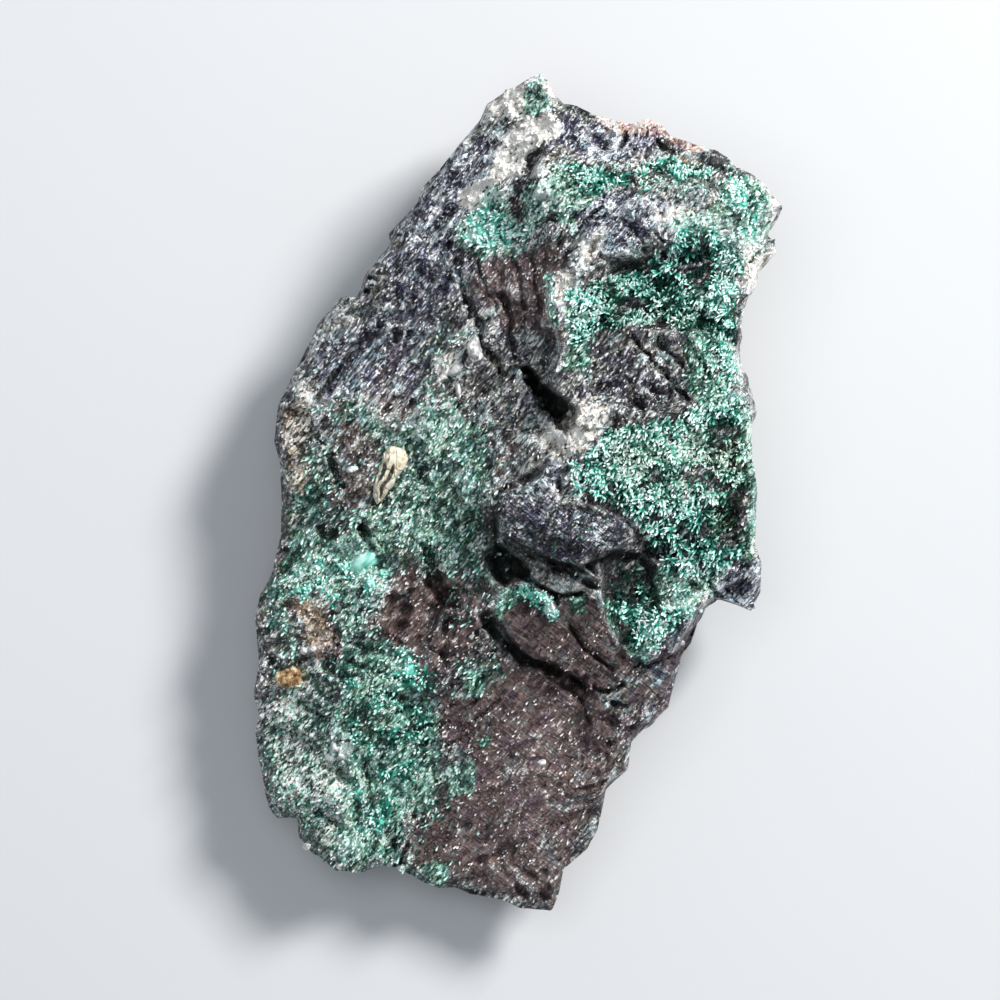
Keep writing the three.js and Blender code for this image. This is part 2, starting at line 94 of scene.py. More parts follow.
# ---- The bornite rock: its relief ------------------------------------------------------
# One broken piece of copper ore, tarnished purple-grey. Its top is made of tilted blocks
# with sharp steps between them, hollows broken into the blocks, and cracks.
CENTRE = (0.4, 1.6)
OUTLINE = [
    # crown
    (-3.4, 39.2), (-3, 40.2), (-0.8, 41.6), (0.9, 42.3), (2.3, 43.1), (3.3, 42.2),
    (3.7, 41), (4.8, 39.9),
    # top edge
    (6.2, 39.7), (8.4, 38.7), (9.9, 38.3), (11.9, 38), (13.5, 38.5), (14.8, 38),
    (15.7, 36.7), (19, 35.6), (20.6, 35.3), (21.6, 34.6),
    # shoulder
    (22.2, 33.7), (24.1, 32.8), (25.3, 31.5), (27.1, 29.3), (26.6, 28.2), (25.6, 26.6),
    (26.4, 25.9), (26.4, 24.6), (24.9, 23), (24.4, 21.2),
    # right edge
    (23.5, 20), (22.9, 17.6), (22.6, 13.8), (23.2, 11.5), (24.3, 8.1), (23.9, 7),
    (24, 4.2), (24.6, 0.4), (24.4, -5),
    # beak
    (25.1, -6.9), (25.2, -9.9), (24.2, -11.9), (23, -11.3), (20.6, -10.5), (19.6, -11),
    # flank
    (18.6, -13), (18, -15.1), (17, -16.4), (16.3, -19), (15.6, -21.6), (12.9, -24.2),
    (11.9, -25.3), (11.4, -28.2), (9.3, -30.3), (9, -32.1),
    # toe
    (8.4, -34.6), (7.4, -36.5), (4.9, -38.7), (4.5, -41.1), (3.7, -43.1), (0.4, -42.8),
    (-1.1, -42),
    # foot
    (-4.7, -41.4), (-6.3, -40.7), (-8, -40.8), (-9.9, -39.9), (-12.5, -38.6), (-14, -38.3),
    (-16.1, -39.1), (-18.7, -38.8), (-21.2, -36.7), (-22.4, -34.8), (-22.6, -33.3),
    (-24.3, -33),
    # left edge
    (-25.9, -31), (-26.1, -29.3), (-26.7, -27.4), (-27, -24.6), (-26.6, -22.7),
    (-27.2, -20.5), (-26.6, -17.4), (-27, -12.5), (-26.5, -10.3), (-25.3, -8.4),
    (-24.3, -4), (-24.2, -0.4), (-24.4, 3.5), (-25, 5.7), (-24.6, 9.4),
    # slope up to the crown
    (-23, 12.6), (-20.4, 17.9), (-18.1, 20.5), (-16.4, 20.6), (-15.7, 22.1), (-13, 25.9),
    (-13.1, 27.1), (-10.1, 30.2), (-9.9, 31.4), (-7.8, 33.6), (-4.9, 37.1), (-3.7, 38.5),
]
# Each block: its edge, three spot heights that tilt its top, its fall outside the edge.
BLOCKS = {
    "left slab": (
        [(-4.5, 17), (2, 20), (4.5, 7), (1.5, 1.5), (-1, -4.5), (-1.5, -11.5), (-7, -16),
         (-12, -20), (-16, -27), (-19, -38.5), (-23, -33.5), (-26, -30.5), (-27, -21),
         (-27, -11.5), (-24.5, -4.5), (-24.5, 6), (-22, 10), (-12, 10)],
        [(0.5, 10, 19.5), (-23.5, 4.5, 12.8), (-22, -27, 11)], 0.8,
    ),
    "left shoulder": (
        [(-18, 20.5), (-16, 21.5), (-12, 28), (-8, 31.5), (-3.5, 26.5), (-1.5, 20), (-3.5, 14),
         (-9, 8), (-18, 7), (-24, 10), (-22, 14.5)],
        [(-2.5, 20, 19.8), (-17, 19, 13.2), (-22, 10, 12)], 0.7,
    ),
    "crest slope": (
        [(-10, 31), (-7, 34.5), (-3, 38.5), (1.5, 42.5), (3.5, 41), (3.5, 30.5), (2.5, 20),
         (-2.5, 21), (-7, 25.5), (-12, 27)],
        [(1.5, 40, 20.5), (2, 22, 22.5), (-9, 30.5, 15.5)], 0.9,
    ),
    "top band": (
        [(2, 42.5), (8.5, 38.5), (14, 38), (19, 35.5), (25, 31.5), (26.5, 29.5), (19, 29),
         (10.5, 29), (4.5, 24.5), (2.5, 30.5)],
        [(4.5, 40, 19.5), (19, 34.5, 20.5), (10.5, 29.5, 24.8)], 1.2,
    ),
    "ridge": (
        [(3, 18.5), (4, 22), (8.5, 28), (13, 30.5), (18, 31), (22.5, 29), (19, 27), (13, 24.5),
         (8, 23.5), (5.5, 20), (4, 17)],
        [(3.5, 19, 24.3), (10.5, 27.5, 26), (19, 29.5, 24.4)], 2.4,
    ),
    "upper block": (
        [(4, 21), (8.5, 24), (14, 25), (23, 29), (25.5, 26.5), (24, 21), (22.5, 15), (23.5, 10),
         (19, 7), (6.5, 7), (4.5, 9.5)],
        [(4.5, 15, 25), (23, 20, 22), (14, 8, 24.2)], 4.5,
    ),
    "lower block": (
        [(4.5, 6), (6.5, 8), (13, 9.5), (23, 10.5), (24.5, 4.5), (24.5, -7), (20, -10),
         (15.5, -16), (13.5, -17), (10, -15), (8.5, -10.5), (8.5, -6), (12, -4.5), (8.5, -1),
         (4.5, -0.5)],
        [(5, 2.5, 24), (24, 4.5, 21.8), (14, -15, 17)], 2.4,
    ),
    "tongue root": (
        [(-4.5, 2.9), (-2.7, 5.6), (0.4, 6.4), (3, 5.1), (3.7, 3.7), (2, 1.6), (-0.1, 0.2),
         (-1.3, -0.7), (-2.9, 0.2)],
        [(-4.1, 2.2, 18.6), (3.1, 4.1, 23.5), (-1.1, -0.2, 22.6)], 1.6,
    ),
    "tongue top": (
        [(-1.3, -1.2), (-1.5, 0.1), (-0.1, 0.6), (1.4, 1), (2.6, 2), (3.3, 3.2), (4.1, 3.6),
         (4.4, 2.7), (3.8, 1.2), (4.2, -0.4), (6.1, -0.7), (8.3, -1.4), (10, -2), (10.9, -2.9),
         (11.5, -4), (9.7, -3.8), (7.1, -2.9), (4.5, -2.3), (2.5, -2.1), (0.4, -1.9)],
        [(3.7, 2.7, 25.4), (-1.1, -0.4, 23.8), (10.9, -3.3, 23.4)], 6,
    ),
    "tongue side": (
        [(-1.6, -1.2), (0.4, -1.9), (2.5, -2.1), (4.5, -2.3), (7.1, -2.9), (9.7, -3.8),
         (11.6, -4.2), (11.2, -4.8), (9.9, -5.4), (8.7, -5.9), (7.6, -6.6), (6.4, -7.1),
         (4.5, -6.5), (2.6, -5.8), (0.4, -4.5), (-1.6, -3.5)],
        [(-1.6, -1.2, 23.6), (9.7, -3.8, 23.4), (4.5, -6.5, 21.9)], 9,
    ),
    "underside of the tongue": (
        [(-1.8, -3.5), (0.4, -4.5), (2.6, -5.8), (4.5, -6.6), (6.9, -7.3), (8.7, -8.7),
         (8.3, -9.3), (6.6, -8.7), (4.5, -7.9), (2.5, -7.3), (0.4, -6.3), (-1.6, -5.1)],
        [(-1.6, -4, 20.6), (8.1, -8.4, 20.2), (2.5, -7.1, 19.4)], 8,
    ),
    "olive ledge": (
        [(0.7, -6.8), (2.5, -7.3), (4.5, -8.1), (6.4, -8.5), (7.6, -9.5), (8.4, -9.7),
         (8.2, -10.7), (6.6, -9.9), (5, -10.1), (3.5, -9.7), (2, -8.7), (1.1, -7.8)],
        [(0.9, -7, 18.6), (8.1, -9.7, 19.2), (4.5, -10.1, 18.4)], 8,
    ),
    "seam ridge": (
        [(-0.1, -9.1), (0.7, -8.7), (2.5, -9.5), (3.5, -10.7), (4.6, -12.1), (3.7, -12.7),
         (2.5, -11.8), (1.2, -10.7), (0.1, -9.9)],
        [(0.2, -9.3, 18.5), (4.1, -11.9, 18.7), (2, -10.9, 18.2)], 6,
    ),
    "lower slab": (
        [(-1.9, -12.3), (-0.6, -10.7), (0.4, -10.1), (1.6, -10.9), (3.3, -12.4), (4.3, -12.4),
         (4.5, -10.5), (6.1, -9.9), (8.2, -10.7), (9.3, -13), (10.2, -14.8), (12.4, -16.5),
         (11.5, -18.1), (9.9, -19.8), (7.6, -19.8), (5.8, -18.3), (4, -17.1), (2, -16.7),
         (0.8, -15.9), (-0.6, -14.4)],
        [(-1.1, -11.9, 17.4), (7.6, -11.7, 18.4), (8.7, -19.5, 16.2)], 8,
    ),
    "bottom slope": (
        [(-12, -21), (-7, -16), (-3.5, -15), (8.5, -20), (18, -16), (15, -22.5), (8.5, -30.5),
         (7.5, -36.5), (4, -42.5), (-1.5, -42), (-8, -40.5), (-16, -38.5)],
        [(-1.5, -17, 14.4), (10.5, -22, 14.6), (2.5, -40.5, 9.5)], 0.9,
    ),
    "flank": (
        [(8.5, -20), (13.5, -17.5), (19, -12), (19, -15), (13, -24.5), (9.5, -31.5), (7.5, -28)],
        [(11.5, -19, 15.4), (18, -13, 15), (13, -24.5, 11.5)], 1.4,
    ),
    "beak": (
        [(19.5, -9.5), (21, -6.5), (25, -6.5), (25, -10), (24, -11.5), (20.5, -10.5)],
        [(20.5, -8.5, 17), (25, -7, 15.6), (23.5, -11, 14.2)], 2.5,
    ),
}
CAVITY = [
    (0.7, 13.3), (1.4, 13.5), (3, 11.5), (4.5, 10), (5.9, 8.7), (6.1, 7.3), (5.1, 6.3),
    (4.2, 6.6), (3.7, 7.8), (2.9, 9.4), (1.8, 10.8), (0.9, 12.1),
]
# Each hollow: its edge, its depth, and the width of its wall.
HOLLOWS = {
    "cavity": (CAVITY, 8, 0.8),
    "crest pit": (
        [(0.6, 34.3), (2.1, 35.5), (2.6, 34.9), (1.9, 33.7), (1, 32.7), (0.5, 33.3)], 1.5, 0.6,
    ),
    "crest hole": (
        [(-1, 31.5), (0.1, 31.9), (1.4, 32.5), (2, 31.9), (1.1, 30.5), (0.8, 28.9), (0, 28),
         (-0.8, 28.4), (-1.1, 29.9)], 1.4, 0.9,
    ),
    "hole under the tongue": (
        [(-1.9, -5.1), (-0.7, -5.7), (0.6, -6.8), (1.5, -7.8), (1.2, -8.7), (-0.1, -8.4),
         (-1.1, -9.1), (-2.1, -8.2), (-2.5, -6.4)], 5.5, 1.2,
    ),
    "basin": (
        [(10, 23.5), (15, 24.5), (20.5, 26), (22.5, 23.5), (22, 18), (22.5, 15), (19, 16.5),
         (13, 17), (9.5, 20)], 2.4, 2.2,
    ),
    "pocket": (
        [(8.9, -6.8), (10.2, -6), (12.8, -6.1), (13.8, -7.4), (14.4, -9.2), (14.6, -10.9),
         (13.6, -12.8), (11.9, -14.8), (10.7, -15.4), (9.9, -13.8), (9.1, -11.7), (8.7, -9.2)],
        2.1, 1.0,
    ),
    "dip": ([(8.5, 15.5), (15, 16.5), (19, 10), (14, 9), (7.5, 10)], 0.8, 2),
    "basin heart": ([(17, 20), (20, 20), (20.3, 17.5), (17.5, 17)], 1.6, 1.2),
    "basin gap": ([(12.5, 25.4), (15, 25), (17.5, 25.6), (17.5, 24.2), (13, 24)], 1.4, 0.9),
    "basin floor": ([(8, 20.5), (11, 21), (13, 18.5), (10, 16.8), (8, 18)], 1.1, 1.5),
    "olive hollow": ([(19.3, 0), (22.6, 0), (22.6, -2.6), (20, -2.8)], 1.3, 1.2),
    "bright hollow": ([(19, 5.5), (22.5, 5.5), (22.5, 3), (19, 3)], 0.8, 1.4),
    "knob gap": (
        [(13, -4.5), (13.8, -5.4), (14.8, -5.6), (15.8, -5.1), (15.9, -6.2), (14.3, -6.6),
         (13.2, -6.1)], 2.0, 0.5,
    ),
    "left pit": ([(-19.6, 4.6), (-18.8, 4.4), (-17.4, 0.8), (-18.4, 1)], 1.5, 0.6),
    "rim pit": ([(-20.6, -3), (-18.4, -3), (-18.8, -4.6), (-20.2, -4.2)], 1.3, 0.7),
    "blob pit": ([(-16, -2.6), (-15.2, -2.6), (-14.8, -5.4), (-15.6, -5)], 1.2, 0.6),
    "middle pit": ([(-10, 3.2), (-9, 3.2), (-8.6, 1), (-9.6, 1.2)], 1.1, 0.6),
    "dark hollow": (
        [(-10.2, -5), (-8.8, -5.4), (-7.6, -9), (-5.8, -9.6), (-5.2, -11.6), (-7, -11.6), (-9.4, -9.4)],
        2.2, 0.9,
    ),
    "low pit": ([(-19.8, -16.4), (-18.6, -16.2), (-18.6, -19), (-19.6, -18.6)], 1.2, 0.7),
}
# Each crack: the line it follows, its depth, and its half width.
CRACKS = [
    ([(2, 2.1), (-0.2, 1.1), (-2, 0), (-2.4, -2), (-2.1, -4)], 1.3, 0.45),
    ([(2.3, -1), (3.7, -2.2), (5.6, -2.8), (7.8, -3.4)], 0.6, 0.3),
    ([(-3.5, -12.4), (-2.1, -14), (-0.6, -15.6), (1, -17), (3, -17.5), (4.7, -18.3),
      (6.8, -19.4)], 2.6, 0.5),
    ([(3.3, -17.9), (5, -19.5), (6.8, -20.9), (7.6, -23.1)], 0.9, 0.3),
    ([(-1.4, -4.5), (0.6, -5.8), (3, -6.8), (5.1, -7.1), (6.8, -7.7)], 1.2, 0.28),
    ([(4.1, -7.3), (6.1, -8.2), (7.2, -8.8), (8.5, -9.4)], 1.3, 0.25),
    ([(0.8, -8.4), (2.7, -9.5), (4.5, -10.2), (6.5, -9.9)], 2.0, 0.28),
    ([(5, -12.3), (6, -14.2), (6.9, -15.7), (8.2, -16.5), (9.8, -17.8)], 0.8, 0.2),
    ([(8, -19.6), (9, -20), (10, -20), (10.9, -19.4)], 1.3, 0.3),
    ([(9.1, -13.8), (9.9, -15.3), (10.9, -16.4)], 0.5, 0.3),
    ([(8.7, -6.6), (10.2, -5.9), (12.8, -6.2), (13.8, -7.6), (14.3, -9.3), (14.6, -10.9)], 1.6, 0.36),
    ([(8.7, 24.1), (10.5, 23.5), (12.4, 23.5)], 0.9, 0.4),
    ([(-4.9, 19.7), (-3.9, 17.1), (-2.7, 14.8), (-1.6, 12.8)], 1.7, 0.4),
    ([(-1.4, 20.2), (-0.6, 16.6), (0.2, 14)], 1.5, 0.35),
    ([(-6.6, 24.5), (-5.6, 21.2), (-4.9, 18.3)], 0.8, 0.3),
    ([(-3.5, 24.1), (-2.5, 20.4), (-1.9, 17.1)], 0.8, 0.25),
    ([(0, 24.5), (0.5, 20.2), (0.8, 15.6)], 0.8, 0.25),
    ([(1.9, 24.1), (2.2, 20.2), (2, 16.6)], 0.8, 0.25),
    ([(11.9, 15.9), (13.3, 14.2), (14.8, 12.2), (16.1, 11.3), (17.2, 10)], 1.7, 0.28),
    ([(14.6, 15.2), (16, 13.8), (17.5, 12.1)], 1.7, 0.35),
    ([(18.6, 13.9), (19.4, 12.7)], 1.2, 0.3),
    ([(13.6, 11.3), (14.5, 10.7), (15.2, 10.5)], 1.6, 0.6),
    ([(8.3, 10.7), (9.5, 10.3)], 1.4, 0.45),
    ([(12.2, 9.5), (12.9, 8.8)], 1.2, 0.4),
    ([(13.3, 17.1), (15, 16.8)], 1.0, 0.3),
    ([(19, 8), (21, 8.2)], 1.0, 0.4),
    ([(-22.2, -21), (-19.7, -22.7)], 1.1, 0.35),
    ([(-15.6, -20), (-11.9, -22.1)], 0.9, 0.35),
    ([(-8.9, -14.8), (-7.4, -17.4)], 1.1, 0.4),
    ([(19.4, -8), (20.2, -9), (21.2, -10.5)], 1.8, 0.35),
    ([(14.5, 35.7), (15.9, 35)], 2.0, 0.5),
    ([(4.3, 33.6), (5.8, 33.4), (6.6, 32.3)], 0.9, 0.35),
]
BLOCK_CAP = 0.5
FLOOR_LEVEL = 6.0
# The grain of the rock runs up to the right, at this angle from +X.
GRAIN_ANGLE = math.radians(50)
LEDGE_ANGLE = math.radians(-38)


def ease(t):
    t = np.clip(t, 0, 1)
    return t * t * (3 - 2 * t)


def lattice(i, j, seed):
    value = np.sin(i * 127.1 + j * 311.7 + seed * 74.7) * 43758.5453
    return (value - np.floor(value)) * 2 - 1


# Smooth random hills between -1 and 1, one unit apart.
def hills(x, y, seed):
    i, j = np.floor(x), np.floor(y)
    across, along = ease(x - i), ease(y - j)
    near = lattice(i, j, seed) * (1 - across) + lattice(i + 1, j, seed) * across
    far = lattice(i, j + 1, seed) * (1 - across) + lattice(i + 1, j + 1, seed) * across
    return near * (1 - along) + far * along


# The nine cells round each point, and the way to the point from each cell's own middle.
def cells_round(x, y, seed):
    for di in (-1, 0, 1):
        for dj in (-1, 0, 1):
            i, j = np.floor(x) + di, np.floor(y) + dj
            dx = x - i - 0.5 - 0.45 * lattice(i, j, seed)
            dy = y - j - 0.5 - 0.45 * lattice(i, j, seed + 1)
            yield i, j, dx, dy


# Chipped rock: small tilted faces that meet in creases, about one unit across.
def chips(x, y, seed):
    height = np.full(x.shape, -9.0)
    for i, j, dx, dy in cells_round(x, y, seed):
        tilt = 0.5 * lattice(i, j, seed + 2) * dx + 0.5 * lattice(i, j, seed + 3) * dy
        face = 0.35 * lattice(i, j, seed + 4) + tilt - 0.8 * np.maximum(abs(dx), abs(dy))
        height = np.maximum(height, face)
    return height


# A place measured along and across a direction at this angle from +X.
def turned(x, y, angle):
    return x * np.cos(angle) + y * np.sin(angle), y * np.cos(angle) - x * np.sin(angle)


def distance_to_line(x, y, line):
    nearest = np.full(x.shape, 1e9)
    for (ax, ay), (bx, by) in zip(line[:-1], line[1:]):
        dx, dy = bx - ax, by - ay
        t = np.clip(((x - ax) * dx + (y - ay) * dy) / (dx * dx + dy * dy), 0, 1)
        nearest = np.minimum(nearest, np.hypot(x - ax - t * dx, y - ay - t * dy))
    return nearest


# Distance to a closed edge, negative inside it.
def distance_to_edge(x, y, edge):
    inside = np.zeros(x.shape, bool)
    for (ax, ay), (bx, by) in zip(edge, edge[1:] + edge[:1]):
        if ay != by:
            crosses = (ay > y) != (by > y)
            inside ^= crosses & (x < ax + (y - ay) / (by - ay) * (bx - ax))
    nearest = distance_to_line(x, y, edge + edge[:1])
    return np.where(inside, -nearest, nearest)


def block_height(x, y, edge, spots, fall):
    slope_x, slope_y, level = np.linalg.solve(
        [(px, py, 1) for px, py, _ in spots], [pz for _, _, pz in spots]
    )
    cap = max(pz for _, _, pz in spots) + BLOCK_CAP
    top = np.minimum(slope_x * x + slope_y * y + level, cap)
    return top - fall * np.maximum(distance_to_edge(x, y, edge), 0)


# Height of the rock's top in millimetres, with its roughness.
def rock_height(x, y):
    # the edges of the ledges are straighter than the rest
    loose = 1 - 0.75 * zone(x, y, LEDGE_ZONES)
    wx = x + loose * (0.45 * hills(x / 3.1, y / 3.1, 1) + 0.25 * hills(x / 1.1, y / 1.1, 2))
    wy = y + loose * (0.45 * hills(x / 3.1, y / 3.1, 3) + 0.25 * hills(x / 1.1, y / 1.1, 4))
    height = np.full(x.shape, FLOOR_LEVEL)
    for edge, spots, fall in BLOCKS.values():
        height = np.maximum(height, block_height(wx, wy, edge, spots, fall))
    for edge, depth, wall in HOLLOWS.values():
        height -= depth * ease(0.5 - distance_to_edge(wx, wy, edge) / wall)
    uneven = 0.8 + 0.5 * hills(x / 1.3, y / 1.3, 7)
    ragged = uneven * (1 + 0.55 * hills(x / 0.6, y / 0.6, 15))
    for line, depth, half_width in CRACKS:
        gap = distance_to_line(wx, wy, line) / (half_width * ragged)
        height -= depth * uneven * np.exp(-(gap**2))
    height += 0.5 * hills(x / 4.3, y / 4.3, 5) + 0.25 * hills(x / 1.9, y / 1.9, 6)
    # the smooth bottom slope is less chipped than the rest
    smooth = zone(x, y, SMOOTH_ZONES)
    rough = 1 - 0.85 * smooth
    turn = GRAIN_ANGLE + 0.25 * hills(x / 9, y / 9, 10)
    along, across = turned(x, y, turn)
    height += rough * 0.45 * (1 - 2 * abs(hills(along / 5, across / 1.3, 11)))
    height += rough * 0.2 * hills(along / 2.4, across / 0.5, 12)
    height += rough * 1.0 * chips(along / 3.6, across / 2.2, 40)
    height += rough * 0.55 * chips(along / 1.5, across / 0.9, 50)
    # small sharp pits
    pit = hills(along / 1.6, across / 0.8, 13) + 0.5 * hills(x / 4, y / 4, 14) - 0.55
    height -= rough * 2.6 * np.maximum(pit, 0)
    height += (0.3 + 0.7 * rough) * 0.13 * hills(x / 0.5, y / 0.5, 8)
    # plates of the ledges, which run down to the right
    along, across = turned(x, y, LEDGE_ANGLE)
    plates = 0.2 * hills(along / 4, across / 0.8, 15) + 0.1 * hills(along / 2, across / 0.35, 16)
    height += zone(x, y, LEDGE_ZONES) * plates
    return height


# Each zone: its edge, how softly it ends, and how strong it is, from 0 to 1.
def zone(x, y, zones):
    wave_x = hills(x / 5, y / 5, 65) + 0.5 * hills(x / 2.2, y / 2.2, 61)
    wave_y = hills(x / 5, y / 5, 66) + 0.5 * hills(x / 2.2, y / 2.2, 63)
    share = np.zeros(x.shape)
    for edge, softness, strength in zones:
        shift = 0.4 * softness
        depth = 0.5 - distance_to_edge(x + shift * wave_x, y + shift * wave_y, edge) / softness
        share = np.maximum(share, strength * ease(depth))
    return share


MAROON_SLOPE = [
    (-8, -20), (-2.5, -16.5), (2.5, -18), (8.5, -20.5), (10.5, -21.5), (9.5, -25), (8, -30.5),
    (7.5, -36.5), (4, -43), (-1.5, -42), (-8, -40), (-10.5, -37), (-7.5, -31.5), (-4, -26),
    (-8, -23),
]
BROWN_SLAB = [
    (-0.8, -11.1), (0.4, -10.4), (1.8, -11.1), (3.5, -12.6), (4.5, -12.4), (4.7, -10.7),
    (6.1, -10.2), (8, -10.7), (9.3, -13.4), (10.3, -15), (12.8, -16.7), (11.7, -18.3),
    (9.9, -20), (7.4, -20), (5.6, -18.4), (3.7, -17.3), (1.8, -16.9), (0.2, -15.3),
    (-1.1, -13.6),
]
TONGUE = [
    (-1.3, -4.5), (-1.8, -1.6), (-1.5, 0.1), (-0.1, 0.6), (1.4, 1), (2.6, 2), (3.3, 3.2),
    (4.2, 3.6), (4.4, 2.7), (3.8, 1.2), (4.2, -0.4), (6.1, -0.7), (8.3, -1.4), (10, -2),
    (11.1, -3.1), (11.5, -4), (10.2, -5.1), (8.7, -5.9), (7.6, -6.6), (6.4, -7.1), (4.5, -6.5),
    (2.6, -5.8), (0.4, -4.5),
]
CREST_METAL = [
    (-10, 31), (-6, 36), (-1.5, 38), (-2, 33.5), (-4.5, 29), (-8, 25.5), (-13, 21), (-12.5, 27),
]
DISC = [
    (6.9, 29.3), (8.7, 30.2), (12.8, 30.7), (16.1, 30.4), (15.3, 27.9), (13.3, 25.9),
    (11.2, 24.1), (9.2, 24.1), (7.8, 25.1), (6.5, 27.4),
]
FOLDED_STRIP = [
    (-6.3, 24.1), (-1.6, 24.8), (4.1, 25.3), (4.7, 20.2), (4.5, 13.2), (1.4, 12.8),
    (-1.6, 16.6), (-4.7, 20.2),
]
LEDGES = [
    (-2.5, 1), (4, 4.5), (5, 0), (12.5, -3), (9, -6), (9, -10), (16, -18), (17, -21), (8, -21),
    (-1, -16.5), (-4, -12), (-2.5, -6),
]
BEAK = [(19.5, -9), (21, -6.5), (25.5, -6.5), (25.5, -10.5), (24, -12), (20.5, -10.5)]
LEDGE_ZONES = [(LEDGES, 1.5, 1)]
SMOOTH_ZONES = [
    (MAROON_SLOPE, 4, 0.7),
    (LEDGES, 1.5, 0.9),
    (FOLDED_STRIP, 3, 0.5),
    (CREST_METAL, 3, -0.5),
    (DISC, 2, -1.0),
    ([(-6, 42), (2, 43), (14, 37), (20, 34), (20, 30), (9, 30), (3, 25), (-8, 25), (-9, 30)], 2, -0.9),
    ([(7, 16), (17, 13), (17, 9), (5, 8)], 2.5, -1.1),
    ([(-13, 4), (-2.5, 4), (-2.5, -7), (-13, -7)], 3, -0.7),
    ([(-26, -22), (-20, -22), (-20, -33), (-26, -33)], 3, -0.8),
    (BEAK, 1, -1.1),
    (TONGUE, 1, -1.1),
]
SLANTED_ZONES = [(LEDGES, 1.5, 1), (MAROON_SLOPE, 5, 1), (TONGUE, 1, 1)]


# ---- The bornite rock: its body --------------------------------------------------------
# The rock lies on the flat of its underside. The top sheet and the underside are joined
# by rough walls that lean in below the rim.
TOP_CELLS = (196, 316)
WALL_ROWS = 22
RIM_WIDTH = 0.035
RIM_DROP = 0.9
WALL_UNDERCUT = 0.11
WALL_BREAKS = 0.05
UNDERSIDE_RISE = 6.4
UNDERSIDE_SINK = 1.3
THINNEST = 3.0
OUTLINE_BLUR = 0.3
UNDERSIDE_KEPT = 0.1


# How far a closed edge is from its centre in the direction of each angle.
def reach_of(edge, centre, angle):
    dx, dy = np.cos(angle), np.sin(angle)
    reach = np.zeros(angle.shape)
    for (ax, ay), (bx, by) in zip(edge, edge[1:] + edge[:1]):
        ax, ay, bx, by = ax - centre[0], ay - centre[1], bx - centre[0], by - centre[1]
        turn = dx * (by - ay) - dy * (bx - ax)
        turn = np.where(abs(turn) < 1e-12, 1e-12, turn)
        distance = (ax * (by - ay) - ay * (bx - ax)) / turn
        along = (ax * dy - ay * dx) / turn
        hit = (distance > 0) & (along > -1e-9) & (along < 1 + 1e-9)
        reach = np.where(hit, np.maximum(reach, distance), reach)
    return reach


def select_none():
    bpy.ops.object.select_all(action="DESELECT")


# Joins the other pieces to the first.
def join(first, others):
    select_none()
    for piece in [first, *others]:
        piece.select_set(True)
    bpy.context.view_layer.objects.active = first
    bpy.ops.object.join()


# A closed box of fine faces, two units wide and one high: a sheet, its underside, and
# the rows of wall between them.
def sheet_box(name, cells, rows):
    select_none()
    bpy.ops.mesh.primitive_grid_add(x_subdivisions=cells[0], y_subdivisions=cells[1], size=2)
    under = bpy.context.object
    bpy.ops.mesh.primitive_grid_add(
        x_subdivisions=cells[0], y_subdivisions=cells[1], size=2, location=(0, 0, 1)
    )
    body = bpy.context.object
    join(body, [under])
    bpy.ops.object.transform_apply(location=True, rotation=True, scale=True)
    bpy.ops.object.mode_set(mode="EDIT")
    bpy.ops.mesh.select_mode(type="EDGE")
    bpy.ops.mesh.select_all(action="DESELECT")
    bpy.ops.mesh.select_non_manifold()
    bpy.ops.mesh.bridge_edge_loops(number_cuts=rows - 1)
    bpy.ops.mesh.select_all(action="SELECT")
    bpy.ops.mesh.normals_make_consistent(inside=False)
    bpy.ops.object.mode_set(mode="OBJECT")
    body.name = name
    body.data.name = name
    return body


def read_points(piece):
    flat = np.empty(len(piece.data.vertices) * 3)
    piece.data.vertices.foreach_get("co", flat)
    return flat.reshape(-1, 3)


# For each point of such a box: how high it is, how far out, and at which angle in the
# shape that its edge gives it.
def spread_of(piece, edge, centre):
    u, v, w = read_points(piece).T
    half_x, half_y = (max(abs(point[k] - centre[k]) for point in edge) for k in (0, 1))
    return w, np.maximum(abs(u), abs(v)), np.arctan2(v * half_y, u * half_x)


# The places at these distances and angles from the centre.
def out_from(centre, distance, angle):
    return centre[0] + distance * np.cos(angle), centre[1] + distance * np.sin(angle)


def write_points(piece, points):
    piece.data.vertices.foreach_set("co", (points * MM).ravel())
    piece.data.update()


def store(piece, name, values):
    layer = piece.data.attributes.new(name, "FLOAT", "POINT")
    layer.data.foreach_set("value", values.astype(np.float32))


rock = sheet_box("bornite_body", TOP_CELLS, WALL_ROWS)
w, out, angle = spread_of(rock, OUTLINE, CENTRE)
up = np.clip(w, 0, 1)
even_reach = sum(
    reach_of(OUTLINE, CENTRE, angle + step / 4 * OUTLINE_BLUR) for step in range(-4, 5)
) / 9
true_reach = reach_of(OUTLINE, CENTRE, angle)
reach = even_reach + (true_reach - even_reach) * out ** 6
rock_x, rock_y = out_from(CENTRE, out * reach, angle)
top = rock_height(rock_x, rock_y)
rim_ragged = 0.5 + 0.5 * hills(angle * 23, out * 0, 25)
top -= RIM_DROP * (0.5 + rim_ragged) * ease((out - 1 + RIM_WIDTH) / RIM_WIDTH)
bulge = hills(rock_x / 9, rock_y / 9, 21) + 0.6 * hills(rock_x / 3.5, rock_y / 3.5, 22)
rise = UNDERSIDE_RISE * out ** 3 - UNDERSIDE_SINK + 0.5 * bulge * out
rise += 0.5 * ease(out * 4 - 2.4) * chips(rock_x / 2.6, rock_y / 2.6, 70)
bottom = np.maximum(np.minimum(rise, top - THINNEST), 0)
lean = 1 - WALL_UNDERCUT * (1 - up) ** 1.6 * out
breaks = hills(angle * 5, up * 2.5, 23) + 0.5 * hills(angle * 14, up * 6, 24)
breaks += 0.6 * chips(angle * 9, up * 4.5 + angle * 2, 26)
breaks += 0.16 * hills(angle * 40, up * 20, 27)
broken = 1 + WALL_BREAKS * breaks * up * (1 - up) * 4 * out ** 4
